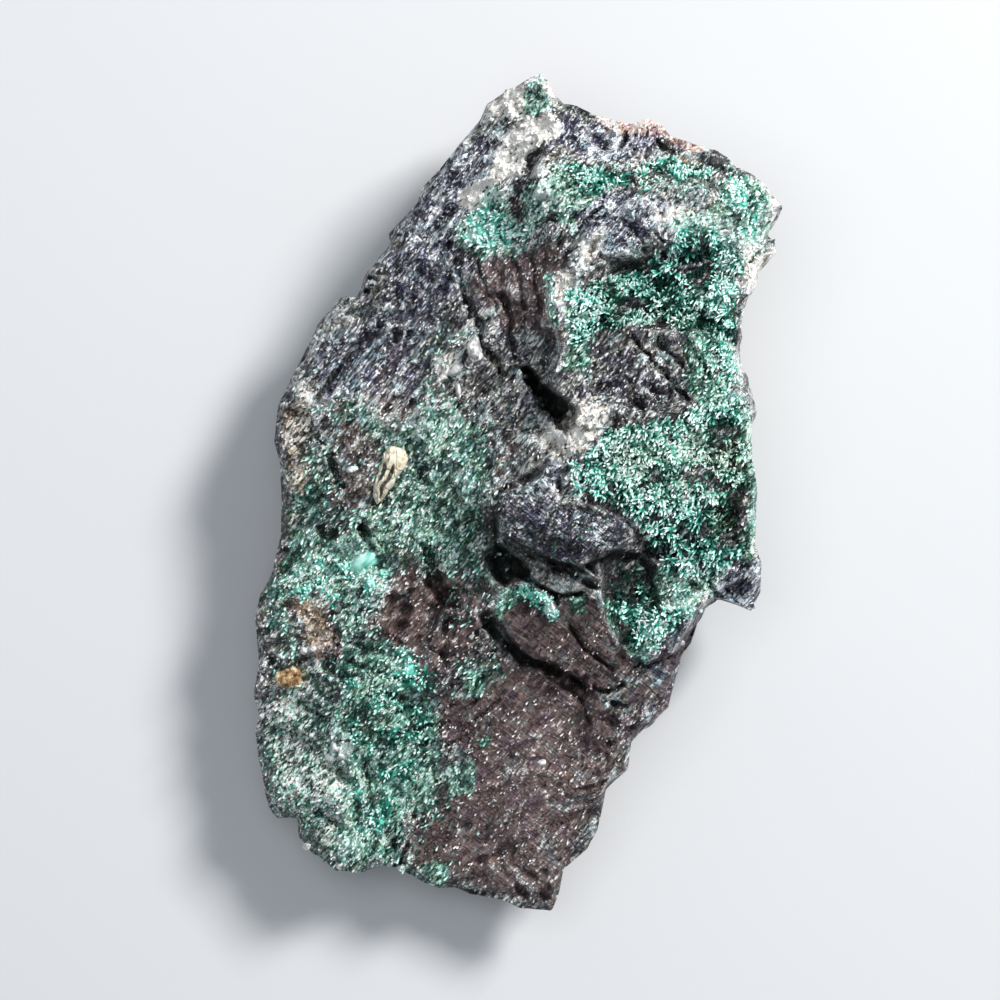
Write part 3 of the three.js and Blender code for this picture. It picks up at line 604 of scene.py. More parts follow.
wall_x, wall_y = out_from(CENTRE, out * reach * lean * broken, angle)
write_points(rock, np.stack([wall_x, wall_y, bottom + (top - bottom) * up], axis=1))

# The underside and the flat middle need fewer faces than the top.
underside = rock.vertex_groups.new(name="underside")
underside.add(np.flatnonzero(up < 0.02).tolist(), 1.0, "REPLACE")
every_triangle = len(rock.data.polygons) * 2
underside_triangles = TOP_CELLS[0] * TOP_CELLS[1] * 2
thin_out = rock.modifiers.new("thin_out", "DECIMATE")
thin_out.ratio = 1 - underside_triangles * (1 - UNDERSIDE_KEPT) / every_triangle
thin_out.vertex_group = "underside"
select_none()
rock.select_set(True)
bpy.context.view_layer.objects.active = rock
bpy.ops.object.modifier_apply(modifier="thin_out")
rock.vertex_groups.clear()


GROUND_STEP = 0.12
NET_STEP = 0.2
NET_MARGIN = 1.5


# Measures a field once on a fine net over the rock, for quick readings between its knots.
def survey(measure, step=NET_STEP):
    low_x, low_y = np.min(OUTLINE, axis=0) - NET_MARGIN
    high_x, high_y = np.max(OUTLINE, axis=0) + NET_MARGIN
    net_x, net_y = np.meshgrid(np.arange(low_x, high_x, step), np.arange(low_y, high_y, step))
    knots = measure(net_x, net_y)

    def reading(x, y):
        i = np.clip((x - low_x) / step, 0, knots.shape[1] - 1.001)
        j = np.clip((y - low_y) / step, 0, knots.shape[0] - 1.001)
        i0, j0 = i.astype(int), j.astype(int)
        across, along = i - i0, j - j0
        near = knots[j0, i0] * (1 - across) + knots[j0, i0 + 1] * across
        far = knots[j0 + 1, i0] * (1 - across) + knots[j0 + 1, i0 + 1] * across
        return near * (1 - along) + far * along

    return reading


ground = survey(rock_height, GROUND_STEP)


# How far a point of the top stands above the rock round it, in millimetres.
def standing(x, y, distance):
    around = 0
    for k in range(6):
        turn = math.pi / 3 * k
        around = around + ground(x + distance * math.cos(turn), y + distance * math.sin(turn))
    return ground(x, y) - around / 6


CREST_CHIP = [(1.8, 31), (3, 31.8), (3.8, 30.5), (3.1, 29.1), (2.2, 29.7)]
BESIDE_CREST_HOLE = [(0.3, 30.5), (1.4, 31.9), (3, 31.5), (3.1, 28.2), (1.6, 26.4), (0.4, 27)]
NECK = [(2.5, 1), (3, 3.1), (4.1, 3.9), (4.7, 2.7), (4.1, 0.8)]
OLIVE_LEDGE = [
    (-1.8, -3.7), (2.6, -5.9), (6.4, -7.2), (8.7, -8.7), (8.4, -10.3), (6.1, -10.1), (4, -9.9),
    (1.4, -8.4), (-0.1, -6.6),
]
# The brown patches on the left: how softly each ends, and how much it is maroon and lacks
# green.
BROWN_PATCHES = [
    ([(-15.4, 16.9), (-10.9, 16.6), (-10.1, 11.9), (-12.2, 7.8), (-14.8, 9.9)], 3, 0.42, 0.5),
    ([(-19.2, 5.8), (-16.9, 6.8), (-14, 5.3), (-14.2, 0.6), (-17.6, -0.4), (-19, 2.2)], 3, 0.4, 0.5),
    ([(-14, -9.7), (-9.9, -8.7), (-7.2, -10.7), (-7.4, -14.3), (-11.9, -14.8), (-14.2, -12.8)], 3, 0.8, 0.6),
    ([(-10.2, -14.9), (-7.2, -15.3), (-7, -18.4), (-9.4, -18.5)], 2, 0.9, 0.7),
    ([(-8.1, -20.2), (-4.7, -20.6), (0.4, -23.3), (-1.6, -25.1), (-7.8, -25.3)], 2.5, 0.8, 0.6),
]
LEFT_SIDE = [(-27, 0), (-20, 12), (-4, 14), (-1.5, -6), (-7, -16), (-8, -42), (-28, -42)]
# Where each mineral shows on the rock: its edge, how softly it ends, how strong it is.
MINERAL_ZONES = {
    "metal": [
        (CREST_METAL, 4, 0.95),
        (DISC, 2, 0.9),
        ([(-13, 26.5), (-7, 27.5), (-3.5, 23.5), (-4.5, 17), (-8, 11), (-14, 11), (-19, 10),
          (-22, 11), (-20, 17), (-16, 20)], 6, 0.66),
        (TONGUE, 1.4, 0.6),
        (NECK, 0.8, 1.0),
        ([(6.9, 15), (12.8, 15.6), (16.9, 11.4), (17.9, 9.9), (13.8, 8.3), (8.7, 8.9),
          (6.9, 9.9)], 3, 0.45),
        ([(8.7, 37.2), (12.8, 37.2), (12.4, 35.4), (8.9, 35)], 2, 0.7),
        ([(7.6, 30), (14.3, 30), (12.8, 26.4), (8.7, 24.1), (7, 25.3)], 3, 0.5),
        ([(12.8, -16.4), (15.3, -14.8), (17.9, -11.7), (19, -10.7), (17.9, -13.3), (14.8, -16.4)], 0.8, 0.9),
        (BEAK, 1.5, 1),
        ([(4, 39.5), (8.5, 38), (13, 35.5), (15, 34), (8.5, 34.2), (4.5, 36)], 2, 0.9),
        ([(6, 24), (8.5, 28), (13, 30.5), (16, 30), (14, 26.5), (9, 23.5)], 3, 0.6),
        ([(13, -17), (19, -11), (20, -15), (15, -24), (12, -25), (13, -20)], 3, 0.7),
    ],
    "maroon": [
        *[(edge, softness, maroon) for edge, softness, maroon, _ in BROWN_PATCHES],
        (MAROON_SLOPE, 4, 1),
        (BROWN_SLAB, 0.6, 1),
        ([(-3.7, 5.6), (-0.1, 6.8), (2, 4.9), (1.4, 2.5), (-1.1, 1.2), (-3.3, 2.1)], 2, 0.5),
        ([(-4, 25), (2.5, 26), (4.5, 26), (3.5, 15.5), (0.5, 16), (-2.5, 16), (-4, 21)], 3, 0.75),
        ([(-14, 5), (-9, 6), (-6, 2), (-8, -4), (-13, -2), (-16, 1)], 4, 0.5),
        (LEFT_SIDE, 5, 0.40),
        ([(-11, -5), (-6, -8), (-3, -14), (-4, -17), (-14, -15), (-14, -10)], 4, 0.85),
        (OLIVE_LEDGE, 0.6, 0.2),
        ([(6.1, 35.1), (10.7, 34.6), (16.9, 34.6), (17.9, 33.8), (14.3, 32.5), (10.7, 33.6),
          (6.6, 33.8)], 2, 0.5),
        ([(13.6, -1.9), (14.8, -2.3), (15.7, -3.9), (15.2, -5.4), (13.8, -5.4), (13.1, -3.5)], 1, 0.9),
        ([(16.9, 19.2), (20.2, 19.2), (20.6, 17.1), (17.9, 16.9)], 1.5, 0.8),
        ([(-1.4, 30), (-0.2, 30.2), (0.2, 28.6), (-0.8, 28)], 1, 0.8),
        ([(13, -17), (19, -11), (20, -15), (15, -24), (9, -33), (6, -28)], 4, 0.5),
    ],
    "pale": [
        ([(-3.3, 39), (-3.3, 40.1), (-1.6, 40.8), (0, 42.2), (1.1, 42.1), (0.9, 40.8),
          (0.6, 38.8), (-1.1, 38.7), (-2.9, 38.7)], 0.7, 1),
        ([(2.6, 42.5), (3.4, 42.3), (3.7, 40.8), (4.7, 40), (4.4, 39.4), (3.3, 39.6),
          (3.3, 40.5), (2.6, 41.3)], 0.7, 0.9),
        ([(0.7, 38.5), (3.3, 39), (3.8, 38), (4.6, 37.7), (4.5, 36.7), (2.5, 36.2), (2.2, 35.4),
          (0.9, 34.6), (0.5, 32.5), (-1.1, 32.3), (-2.7, 31.3), (-3, 29.5), (-4.2, 29.1),
          (-6, 29.7), (-5.6, 30.9), (-3.9, 32.2), (-2.7, 32.5), (-2.4, 34.1), (-1.6, 35.6),
          (-0.4, 37.2)], 1, 1.2),
        ([(2.6, 34.6), (4.1, 35.6), (4.7, 34.6), (3.5, 32.8), (2.5, 32.2)], 1.2, 0.6),
        (CREST_CHIP, 0.8, 1),
        ([(19.3, 27.2), (20.2, 28.1), (22, 27.9), (22.6, 25.9), (21.2, 25.1), (20.2, 26.4)], 0.8, 0.9),
        ([(12.8, 30.3), (17.9, 31), (19, 29.3), (17.9, 27.2), (14.3, 26.8)], 3, 0.55),
        ([(24, 32), (26, 30.5), (27, 29.5), (25.5, 26.5), (24, 28)], 2, 0.8),
        ([(21, 27), (23.5, 26), (26.5, 25.5), (26, 23.5), (24.5, 21), (22.5, 21.5), (21, 24.5)], 2.5, 0.75),
        ([(6, 23), (6.5, 25), (8, 26.5), (9.5, 26.5), (8.5, 24.5), (7, 23.5)], 1.4, 1),
        ([(3.5, 20), (3.5, 22), (6, 23.5), (5.5, 21.5), (4.5, 19)], 1.4, 0.8),
        ([(3, 5.5), (3.5, 7.5), (6, 9), (10, 9.5), (9.5, 7), (7.5, 4.5), (4.5, 4)], 2.5, 0.95),
        ([(-24.5, 8), (-24, 11.5), (-21.5, 13), (-21, 10), (-22, 4.5), (-21.5, -0.5),
          (-23.5, -2.5), (-24.5, -0.5)], 3, 0.6),
        ([(-22, 14), (-20, 18.5), (-17.5, 20.5), (-16.5, 20), (-18, 17), (-20, 14)], 3, 0.5),
        ([(-8, 14), (-5.5, 14), (-5, 12.5), (-7.5, 12)], 1.2, 1),
        ([(-18, -24), (-16.5, -24), (-16.5, -27), (-18, -27)], 1, 0.9),
        ([(-20, -28), (-17.5, -28.5), (-18, -31), (-20, -31)], 1, 0.8),
        ([(-22, -33), (-18.5, -33), (-15, -38), (-20, -38)], 2.5, 0.65),
        ([(-27, -17), (-22, -20), (-19, -25), (-18, -31.5), (-24, -33), (-27, -27)], 4, 0.5),
    ],
    "pink": [
        ([(8.5, 38.5), (13.5, 38.5), (15.5, 38), (18, 36), (20, 35), (18, 34.5), (14.5, 36),
          (10.5, 36.5)], 1.8, 1),
        ([(19.3, 31), (20.8, 31), (20.8, 28.9), (19.3, 28.9)], 1.2, 1),
        ([(-21.8, -15.4), (-20, -15.4), (-20, -17), (-21.8, -17)], 1, 0.8),
        ([(-19, -36.8), (-15.5, -37.2), (-16, -38.4), (-18.6, -38.4)], 1, 0.7),
    ],
    "rust": [
        ([(-22.5, -11), (-19.5, -10.5), (-19, -15), (-20.5, -16.5), (-22.5, -15)], 1.8, 0.8),
        ([(-25, -17.5), (-21.5, -17.5), (-21.5, -20), (-24.5, -20.5)], 2, 0.8),
        ([(-24.5, 9), (-22.5, 10), (-22, 0), (-23.5, -2.5)], 2.5, 0.85),
        (OLIVE_LEDGE, 0.6, 0.36),
        ([(14.3, 34.6), (19, 34.8), (19.2, 33.1), (14.8, 31.5)], 2, 0.5),
        ([(19, 6.5), (23.5, 6), (23.5, 2), (19.5, 2.5)], 3, 0.6),
        (LEFT_SIDE, 5, 0.40),
    ],
    "green": [
        (LEFT_SIDE, 7, 0.5),
        (BESIDE_CREST_HOLE, 1.2, 0.8),
        (TONGUE, 2, 0.18),
        *[(edge, softness, -lack) for edge, softness, _, lack in BROWN_PATCHES],
        ([(-22.7, -10.7), (-19.4, -10.9), (-19.1, -16.4), (-22.2, -16.9)], 2, -0.9),
        ([(-16, 10), (-4.5, 12), (-1.5, 6), (-1.5, -11), (-7, -10), (-12, -6.5), (-18, -4.5),
          (-22, -0.5), (-17, 6)], 6, 0.6),
        ([(-23.5, -3), (-19, -4), (-12, -3.5), (-13, -10.5), (-16, -15), (-19, -15), (-18, -10),
          (-25.5, -10.5)], 3, 0.85),
        ([(-20, -15), (-8, -15), (-7.5, -21), (-9, -31.5), (-12, -38.5), (-19, -38.5),
          (-18, -27)], 4, 0.75),
        ([(-10, -38), (-6.5, -38.5), (-7, -41), (-9.5, -40.5)], 2, 0.9),
        ([(-4, -23.5), (-2, -24), (-2.5, -26), (-4.5, -25.5)], 1.5, 0.95),
        ([(-7.5, -27.5), (-4, -27), (-4, -31), (-7, -31)], 1.8, 0.95),
        ([(-6, -17), (-3.5, -17.5), (-4, -20.5), (-6, -20)], 1.8, 0.9),
        ([(-22, 1), (-20, 1), (-19.5, -2.5), (-21.5, -2)], 1.6, 0.9),
        ([(-6.2, 27.8), (-3.9, 29.3), (-3, 31), (-1.6, 31.7), (-1.2, 28.9), (-0.1, 27.6),
          (1.1, 27.6), (0.8, 25.3), (-3.7, 24.9), (-6.1, 26.2)], 1.5, 0.95),
        ([(3, 31.5), (4.3, 34.1), (6.9, 34.4), (8.7, 33.1), (8.9, 30), (6.6, 28.9), (5.8, 26.4),
          (4.8, 27.9), (3.3, 29.1)], 1.5, 0.85),
        ([(2.5, 35), (8.5, 33.6), (13, 33), (18, 34), (20.5, 34), (19.5, 30.5), (14, 31),
          (8.5, 30.8), (5, 29.5)], 2.5, 0.5),
        ([(14.5, 27.5), (19, 30), (21.5, 33.5), (24.5, 31.5), (26, 26.5), (23, 24.5),
          (22.5, 20), (19, 25.5)], 2.5, 0.9),
        ([(17.9, 21.2), (22.9, 21.2), (22.2, 16.1), (21.8, 12.5), (23.9, 9.4), (24.3, 7.8),
          (23.9, 2.7), (24.3, -6.6), (22.9, -6.6), (22.7, 5.8), (19, 8.3), (17.9, 11.4),
          (17.1, 14)], 2, 0.85),
        ([(-1.6, -9.3), (0.2, -9.1), (1.2, -10.9), (-0.4, -11.9), (-1.6, -13), (-2.5, -11.9)], 1, 0.7),
        ([(8.9, -10.7), (9.9, -10.5), (10.7, -14.8), (9.3, -13)], 0.8, 0.8),
        ([(-4.7, -16.4), (-1.6, -15.9), (-1.1, -19), (-4.7, -21)], 2, 0.5),
        ([(14, -8), (22, -6), (20, -9), (17.5, -12.5), (13, -17), (11, -16)], 2, 0.85),
        ([(4.2, 20), (8, 20), (7, 13), (4.3, 12)], 2, 0.8),
        ([(1.1, 42.2), (2.5, 42.7), (2.6, 41.3), (3.3, 40.5), (3.2, 39.6), (1.6, 38.8),
          (0.7, 39.1), (0.8, 40.8)], 0.7, 1),
        ([(2.7, 22.5), (3.5, 22.5), (3.8, 17.5), (3.2, 17.5)], 0.8, 1),
        ([(5.4, -10.2), (7, -10), (7.2, -12), (6, -12.2)], 0.7, 1),
    ],
}
# Where the stone is painted paler than usual, and where darker, the second with a minus.
# Some are its own tone; others are painted shade in hollows, pits and under ledges, and
# painted highlights on the tongue and over the top of the rock.
SHADE_ZONES = [
    ([(21, 33), (25, 31.5), (26.3, 25), (23, 25), (21.5, 28)], 2, 1.0),
    ([(13.8, 28.9), (22, 29.5), (23, 19), (20.5, 18.5), (19.5, 24.5), (14, 26)], 2, 1.0),
    ([(2.5, 35), (7.5, 34.5), (7.5, 29.5), (4, 29), (2.5, 31)], 2, 0.6),
    ([(20.5, 15), (24, 15), (25, 5), (23, 3), (22.5, 9), (20.5, 12)], 2, 0.9),
    ([(9, 7), (18, 7.5), (18, 2.5), (12, 1.5), (5, -0.5), (4.8, 3), (7, 4)], 2.5, 0.6),
    ([(22.5, 0), (24.6, 0), (24.5, -6.5), (22.5, -5)], 1.5, 0.7),
    ([(14.5, -9), (21, -6.5), (21.5, -8), (17.5, -13), (15, -12)], 2, 0.9),
    ([(12.5, -13), (17, -12), (16, -16), (12.5, -16.5)], 1.6, 0.8),
    ([(-21, -6), (-14, -5), (-13.5, -12), (-19, -12), (-21.5, -9.5)], 3, 0.9),
    ([(-19, -12), (-17, -12), (-17, -16), (-19, -16)], 2, 0.7),
    ([(-13.5, -15), (-10, -15), (-10, -19), (-13, -19)], 2, 0.8),
    ([(-7, -17), (-3.5, -17), (-4, -31), (-7, -31)], 3, 0.5),
    # painted light: the whole top of the rock is painted paler
    ([(-6, 42), (2, 43), (20, 36), (28, 28), (22, 22), (8, 22), (-4, 24), (-12, 26)], 4, 0.55),
    ([(4, 39.5), (8.5, 38), (13, 36), (15, 34.6), (8.5, 34.2), (4.5, 36)], 2, 0.65),
    ([(-20.2, 13), (-11.9, 15), (-7.8, 11.9), (-7.8, 5.8), (-19.2, 4.7)], 6, 0.8),
    ([(-22.7, -10.7), (-19.4, -11), (-19.2, -16.4), (-22.5, -16.4)], 2, 1.0),
    ([(-4.7, -27.2), (4.5, -21), (8.7, -27.2), (4.5, -39.6), (-1.6, -41.6)], 6, 0.6),
    ([(6, 8.5), (19, 16), (20, 10), (14, 8)], 4, 0.2),
    ([(24, 32), (26, 30.5), (27, 29.5), (25.5, 23), (22.5, 22), (24, 28)], 2, 0.4),
    # painted shade in the basin's hollows and in the shadow under the ridge
    ([(7.5, 22), (13.5, 22.5), (13.5, 16), (8, 16)], 3, -0.2),
    ([(15, 21.5), (20.5, 20.8), (20.5, 15.5), (16, 16)], 2, -0.6),
    ([(12, 26), (18, 26.5), (18, 23), (12.5, 23)], 2, -0.5),
    ([(18.5, 6), (23, 6), (23, 2.4), (18.5, 2.4)], 3.5, -0.35),
    ([(19.5, 0.5), (23, 0.5), (22.8, -3), (19.5, -3)], 3, -0.7),
    ([(16.5, -4), (19.5, -4), (19.5, -6.5), (16.5, -6.5)], 1.5, -0.7),
    # painted shade in the upper part of the pocket
    ([(8.7, -5.6), (14.8, -5.6), (15, -11), (9, -11)], 2, -0.9),
    ([(-5, 26), (4, 26), (4, 14), (-5, 15)], 4, 0.6),
    ([(-0.5, 15), (4.2, 15), (4.3, 7), (1, 9)], 2.5, -0.2),
    ([(-25, 10), (-22, 12), (-21.5, 4), (-21, -2), (-24.5, -3)], 2, -1.2),
    ([(-28, -18), (-22, -20), (-18.5, -26), (-17, -38), (-28, -34)], 3, -0.25),
    ([(-11, -5), (-8.5, -5), (-5, -9), (-5, -12), (-8, -12)], 2.5, -0.45),
    ([(-4.5, 0), (-1.6, 0), (-1.6, -12), (-4.5, -12)], 3, -0.3),
    ([(-19, -26), (-10, -26), (-10, -37), (-18, -37)], 4, 0.45),
    ([(7.5, 34), (20.5, 34), (20.5, 30.5), (7.5, 30.5)], 2, -0.25),
    ([(-12, 3), (-2.5, 3), (-2.5, -6), (-12, -6)], 4, 0.3),
    ([(18.5, 35), (21.5, 35), (21.5, 32.8), (18.5, 32.8)], 1, -0.9),
    ([(-6.2, 27.8), (-3.9, 29.3), (-3, 31), (-1.6, 31.7), (-1.2, 28.9), (1.1, 27.6),
      (0.8, 25.3), (-3.7, 24.9), (-6.1, 26.2)], 1.2, 1.2),
    ([(0.7, 38.5), (3.3, 39), (4.6, 37.7), (4.5, 36.7), (2.5, 36.2), (0.9, 34.6), (0.5, 32.5),
      (-1.1, 32.3), (-2.7, 31.3), (-3, 29.5), (-6, 29.7), (-5.6, 30.9), (-2.7, 32.5),
      (-1.6, 35.6)], 1.2, 1.3),
    ([(-8.5, 33.5), (-4, 34.5), (-3, 31), (-6, 28), (-9, 28.5)], 1.5, 1.0),
    ([(2.6, 42.5), (3.4, 42.3), (3.7, 40.8), (4.7, 40), (3.3, 39.6), (2.6, 41.3)], 0.7, 0.8),
    (CREST_CHIP, 0.7, 1.0),
    ([(21.2, 32.8), (22.6, 32), (23.6, 30), (24.8, 26.9), (23.6, 26.2), (22, 28.9), (20.8, 31.5)], 1.2, 1.4),
    # painted highlights on the tongue's neck, its left side and a band along its lower edge
    ([(2.6, 1.9), (3.3, 3.2), (4.2, 3.6), (4.4, 2.7), (3.8, 1), (2.8, 0.8)], 0.6, 1.0),
    ([(0.4, 0.1), (3, 0.4), (4.1, -0.9), (3.3, -2), (2.5, -2.5), (0.9, -2.5)], 1.0, 0.8),
    ([(1.2, -2.9), (3.5, -2.7), (6.1, -2.4), (8.7, -4), (9, -5.4), (8.1, -5.8), (6.1, -4.5),
      (4, -4.3), (1.6, -3.7)], 0.9, 0.9),
    (BESIDE_CREST_HOLE, 1.2, 0.7),
    (TONGUE, 0.8, -1.2),
    # painted highlights on the neck and in streaks along the top of the tongue
    (NECK, 0.8, 0.8),
    ([(2.6, 2.9), (4.1, 3.6), (4.1, 1.1), (4.7, -0.4), (7.6, -1.6), (9.9, -3.3), (8.7, -4.8),
      (5.6, -3.8), (2.5, -2.8), (-0.4, -1.4), (-0.6, -0.2), (1.4, 0.4), (3, 1.6)], 0.8, 1.5),
    (FOLDED_STRIP, 2, 0.55),
    # painted shade in the cavity
    (CAVITY, 0.8, -1.6),
    # painted shade under the tongue and in the hole beneath it
    ([(-1.4, -3.9), (0.4, -4.6), (4.5, -6.6), (6.6, -7.3), (8.4, -8.9), (8.2, -9.5),
      (5.8, -8.3), (3, -7.6), (0.4, -6.6), (-1.6, -5.1)], 0.5, -1.2),
    ([(-1.9, -5.1), (-0.7, -5.7), (0.6, -6.8), (1.5, -7.8), (1.2, -8.7), (-0.1, -8.4),
      (-1.4, -9.5), (-2.3, -8.2), (-2.5, -6.2)], 0.8, -1.6),
    ([(1.4, -7.2), (4.5, -8.3), (6.4, -8.9), (6.2, -9.7), (4.7, -9.9), (3, -9.2)], 0.6, 1.1),
    ([(3.7, -12.5), (4.7, -12.6), (5.4, -13.4), (4.3, -13.7), (3.6, -13.2)], 0.5, 0.9),
    ([(-0.1, -12.4), (1, -12.6), (1.2, -13.8), (0.1, -13.8)], 0.6, 1.0),
    ([(1.4, -15.9), (3.8, -16.1), (3.8, -16.8), (1.6, -16.7)], 0.4, 1.2),
    (BROWN_SLAB, 0.8, -1.0),
    ([(2.8, -10.7), (3.7, -10.5), (4.7, -12.1), (3.9, -12.8), (3, -12.2)], 0.6, 1.0),
    ([(14.3, -16.9), (19, -11.7), (19.5, -10.7), (19, -13.3), (14.8, -20), (12.8, -21),
      (11.2, -20)], 2, -0.5),
    ([(7.8, -16.4), (10.3, -16.9), (10.9, -19.4), (8.7, -20)], 1.2, -1.0),
    # painted shadow under the lower edge of the slab
    ([(-3.3, -11.9), (-1.1, -13), (0.9, -15.9), (3.7, -17), (6.8, -19), (7, -20.2),
      (3.7, -18.3), (0.2, -17.5), (-2.5, -14.4)], 0.8, -1.6),
    # painted shadow below the knob and along the rim of the pocket
    ([(13.1, -4.5), (13.8, -5.1), (15.9, -5), (15.9, -6.3), (14, -6.6), (13, -5.9)], 0.6, -1.5),
    ([(12.6, -6.1), (13.6, -6.6), (14.4, -8.7), (14.8, -10.9), (14, -11.1), (13.4, -8.7)], 0.6, -0.8),
    ([(9.9, -4.5), (12.4, -4.3), (12.6, -5.8), (10.1, -5.9)], 0.8, 0.9),
    # painted shade in the crest hole and the crest pit
    ([(-0.6, 32), (0.8, 32.4), (2.5, 32.5), (2.5, 31.4), (1.4, 30.3), (0.5, 29)], 0.9, -0.6),
    ([(0.5, 34.3), (2.2, 35.6), (2.7, 34.9), (1.9, 33.6), (0.9, 32.5)], 0.6, -0.9),
    ([(-7.7, 27.4), (-6.2, 27.6), (-5.6, 25.3), (-7.4, 25.3)], 0.8, -1.0),
    ([(4.8, 34.1), (6.6, 33.8), (7, 31.5), (5.6, 31.3)], 1.2, -0.7),
    ([(6.6, 31.5), (8.7, 31.7), (8.9, 30), (7, 29.9)], 1.0, -1.0),
    ([(17.2, 33.6), (19, 33.6), (19, 31.5), (17.3, 31.5)], 1.2, -0.9),
    ([(10.5, 32.8), (12.4, 32.8), (12.4, 31.1), (10.5, 31.1)], 1.2, -0.7),
    # painted shade in a small hole in the top edge
    ([(14.2, 36), (15.7, 35.4), (16.3, 34.5), (14.8, 34.8)], 0.6, -1.6),
    # painted shade in the basin: its heart, the shadow under the ridge and its dark spots
    ([(16.9, 19.4), (20.3, 19.4), (20.6, 17.1), (17.5, 16.9)], 1.2, -1.3),
    ([(7.6, 21.2), (9.3, 21.7), (10.9, 20.2), (10.2, 17.6), (8.7, 16.1), (7.6, 18.1)], 1.5, -0.9),
    ([(10.9, 24.1), (12.8, 24.5), (14.3, 22.8), (17.9, 23.3), (19, 21.2), (16.9, 20.2),
      (13.8, 20.7), (11.2, 22.2)], 1.5, -0.7),
    ([(16.9, 23.3), (18.1, 24.1), (19, 22.8), (17.9, 21.7)], 1, -1.0),
    ([(19, 16.3), (20.2, 16.1), (20.2, 14.6), (19.2, 14.8)], 1.0, -1.0),
    ([(6.9, 15), (12.8, 15.6), (16.9, 11.4), (17.9, 9.4), (12.8, 8.3), (6.9, 9.4)], 3, 0.15),
    ([(12.8, 15.6), (13.8, 15.7), (15.7, 12.8), (15, 12.2)], 0.8, 0.8),
    ([(19.8, 16.8), (21.8, 16.8), (22, 14.8), (20.2, 14.8)], 0.8, 0.9),
    ([(12.8, 18.3), (15.7, 18.5), (16.1, 17.3), (13.3, 17.3)], 0.8, 0.7),
]


# The zones with a minus take away from the others.
def balance(x, y, zones):
    more = [entry for entry in zones if entry[2] > 0]
    less = [(edge, softness, -strength) for edge, softness, strength in zones if strength < 0]
    return zone(x, y, more) - zone(x, y, less)


# How much paler, or darker if negative, the stone is painted than usual, from -1 to 1: its
# own tone with painted shade and painted highlights, and a random drift.
def measure_shade(x, y):
    drift = 0.4 * hills(x / 4, y / 4, 71) + 0.25 * hills(x / 1.7, y / 1.7, 72)
    return balance(x, y, SHADE_ZONES) + drift


minerals = {
    mineral: survey(lambda x, y: balance(x, y, zones))
    for mineral, zones in MINERAL_ZONES.items()
}
shade = survey(measure_shade)
smoothness = survey(lambda x, y: balance(x, y, SMOOTH_ZONES))
slant = survey(lambda x, y: zone(x, y, SLANTED_ZONES))


# Stores what the stone's finish needs to know of each point. The walls and the underside
# have their own mixture of the minerals.
WALL_MIXTURE = {"metal": 0.36, "maroon": 0.5, "rust": 0.38, "pale": 0.2, "pink": 0, "green": 0.38}


def store_minerals(piece, extra_shade):
    x, y, z = read_points(piece).T / MM
    deep = ease((ground(x, y) - z) / 5 - 0.2)
    wall_x, wall_y = x + 0.6 * z, y - 0.8 * z
    for number, (mineral, share) in enumerate(minerals.items()):
        usual = WALL_MIXTURE[mineral]
        here = usual * (1 + 1.1 * hills(wall_x / 5, wall_y / 5, 611 + number))
        store(piece, mineral, share(x, y) * (1 - deep) + here * deep)
    # Painted shade and light: darker where a point lies below the rock round it, paler where it stands out,
    # with the shade zones and each piece's extra tone.
    proud = np.clip(standing(x, y, 0.45) / 0.4 + standing(x, y, 1.3) / 1.0, -1.6, 1.2)
    proud = proud + 1.3 * shade(x, y) + extra_shade
    store(piece, "proud", proud * (1 - deep) + deep * 0.8 * hills(wall_x, wall_y, 621))
    store(piece, "smooth", smoothness(x, y) * (1 - deep))
    store(piece, "slant", slant(x, y) * (1 - deep))


store_minerals(rock, 0)


# ---- The bornite rock: its finish ------------------------------------------------------
# Grey and purple grains a few tenths of a millimetre across, drawn out along the grain
# of the rock, with green copper minerals, pale quartz, rust and bare metal among them.
class Amount:
    """A number that changes over a surface. Its operators add Math nodes."""

    def __init__(self, finish, socket):
        self.finish = finish
        self.socket = socket

    def math(self, operation, other, clamp=False):
        settings = {"operation": operation, "use_clamp": clamp}
        return self.finish.node("ShaderNodeMath", settings, {0: self, 1: other})

    def __add__(self, other):
        return self.math("ADD", other)

    def __sub__(self, other):
        return self.math("SUBTRACT", other)

    def __mul__(self, other):
        return self.math("MULTIPLY", other)

    def __rsub__(self, other):
        return self.finish.node("ShaderNodeMath", {"operation": "SUBTRACT"}, {0: other, 1: self})

    __radd__ = __add__
    __rmul__ = __mul__

    def clamp(self):
        return self.math("ADD", 0.0, clamp=True)

    def crisp(self, threshold, sharpness):
        return ((self - threshold) * sharpness + 0.5).clamp()


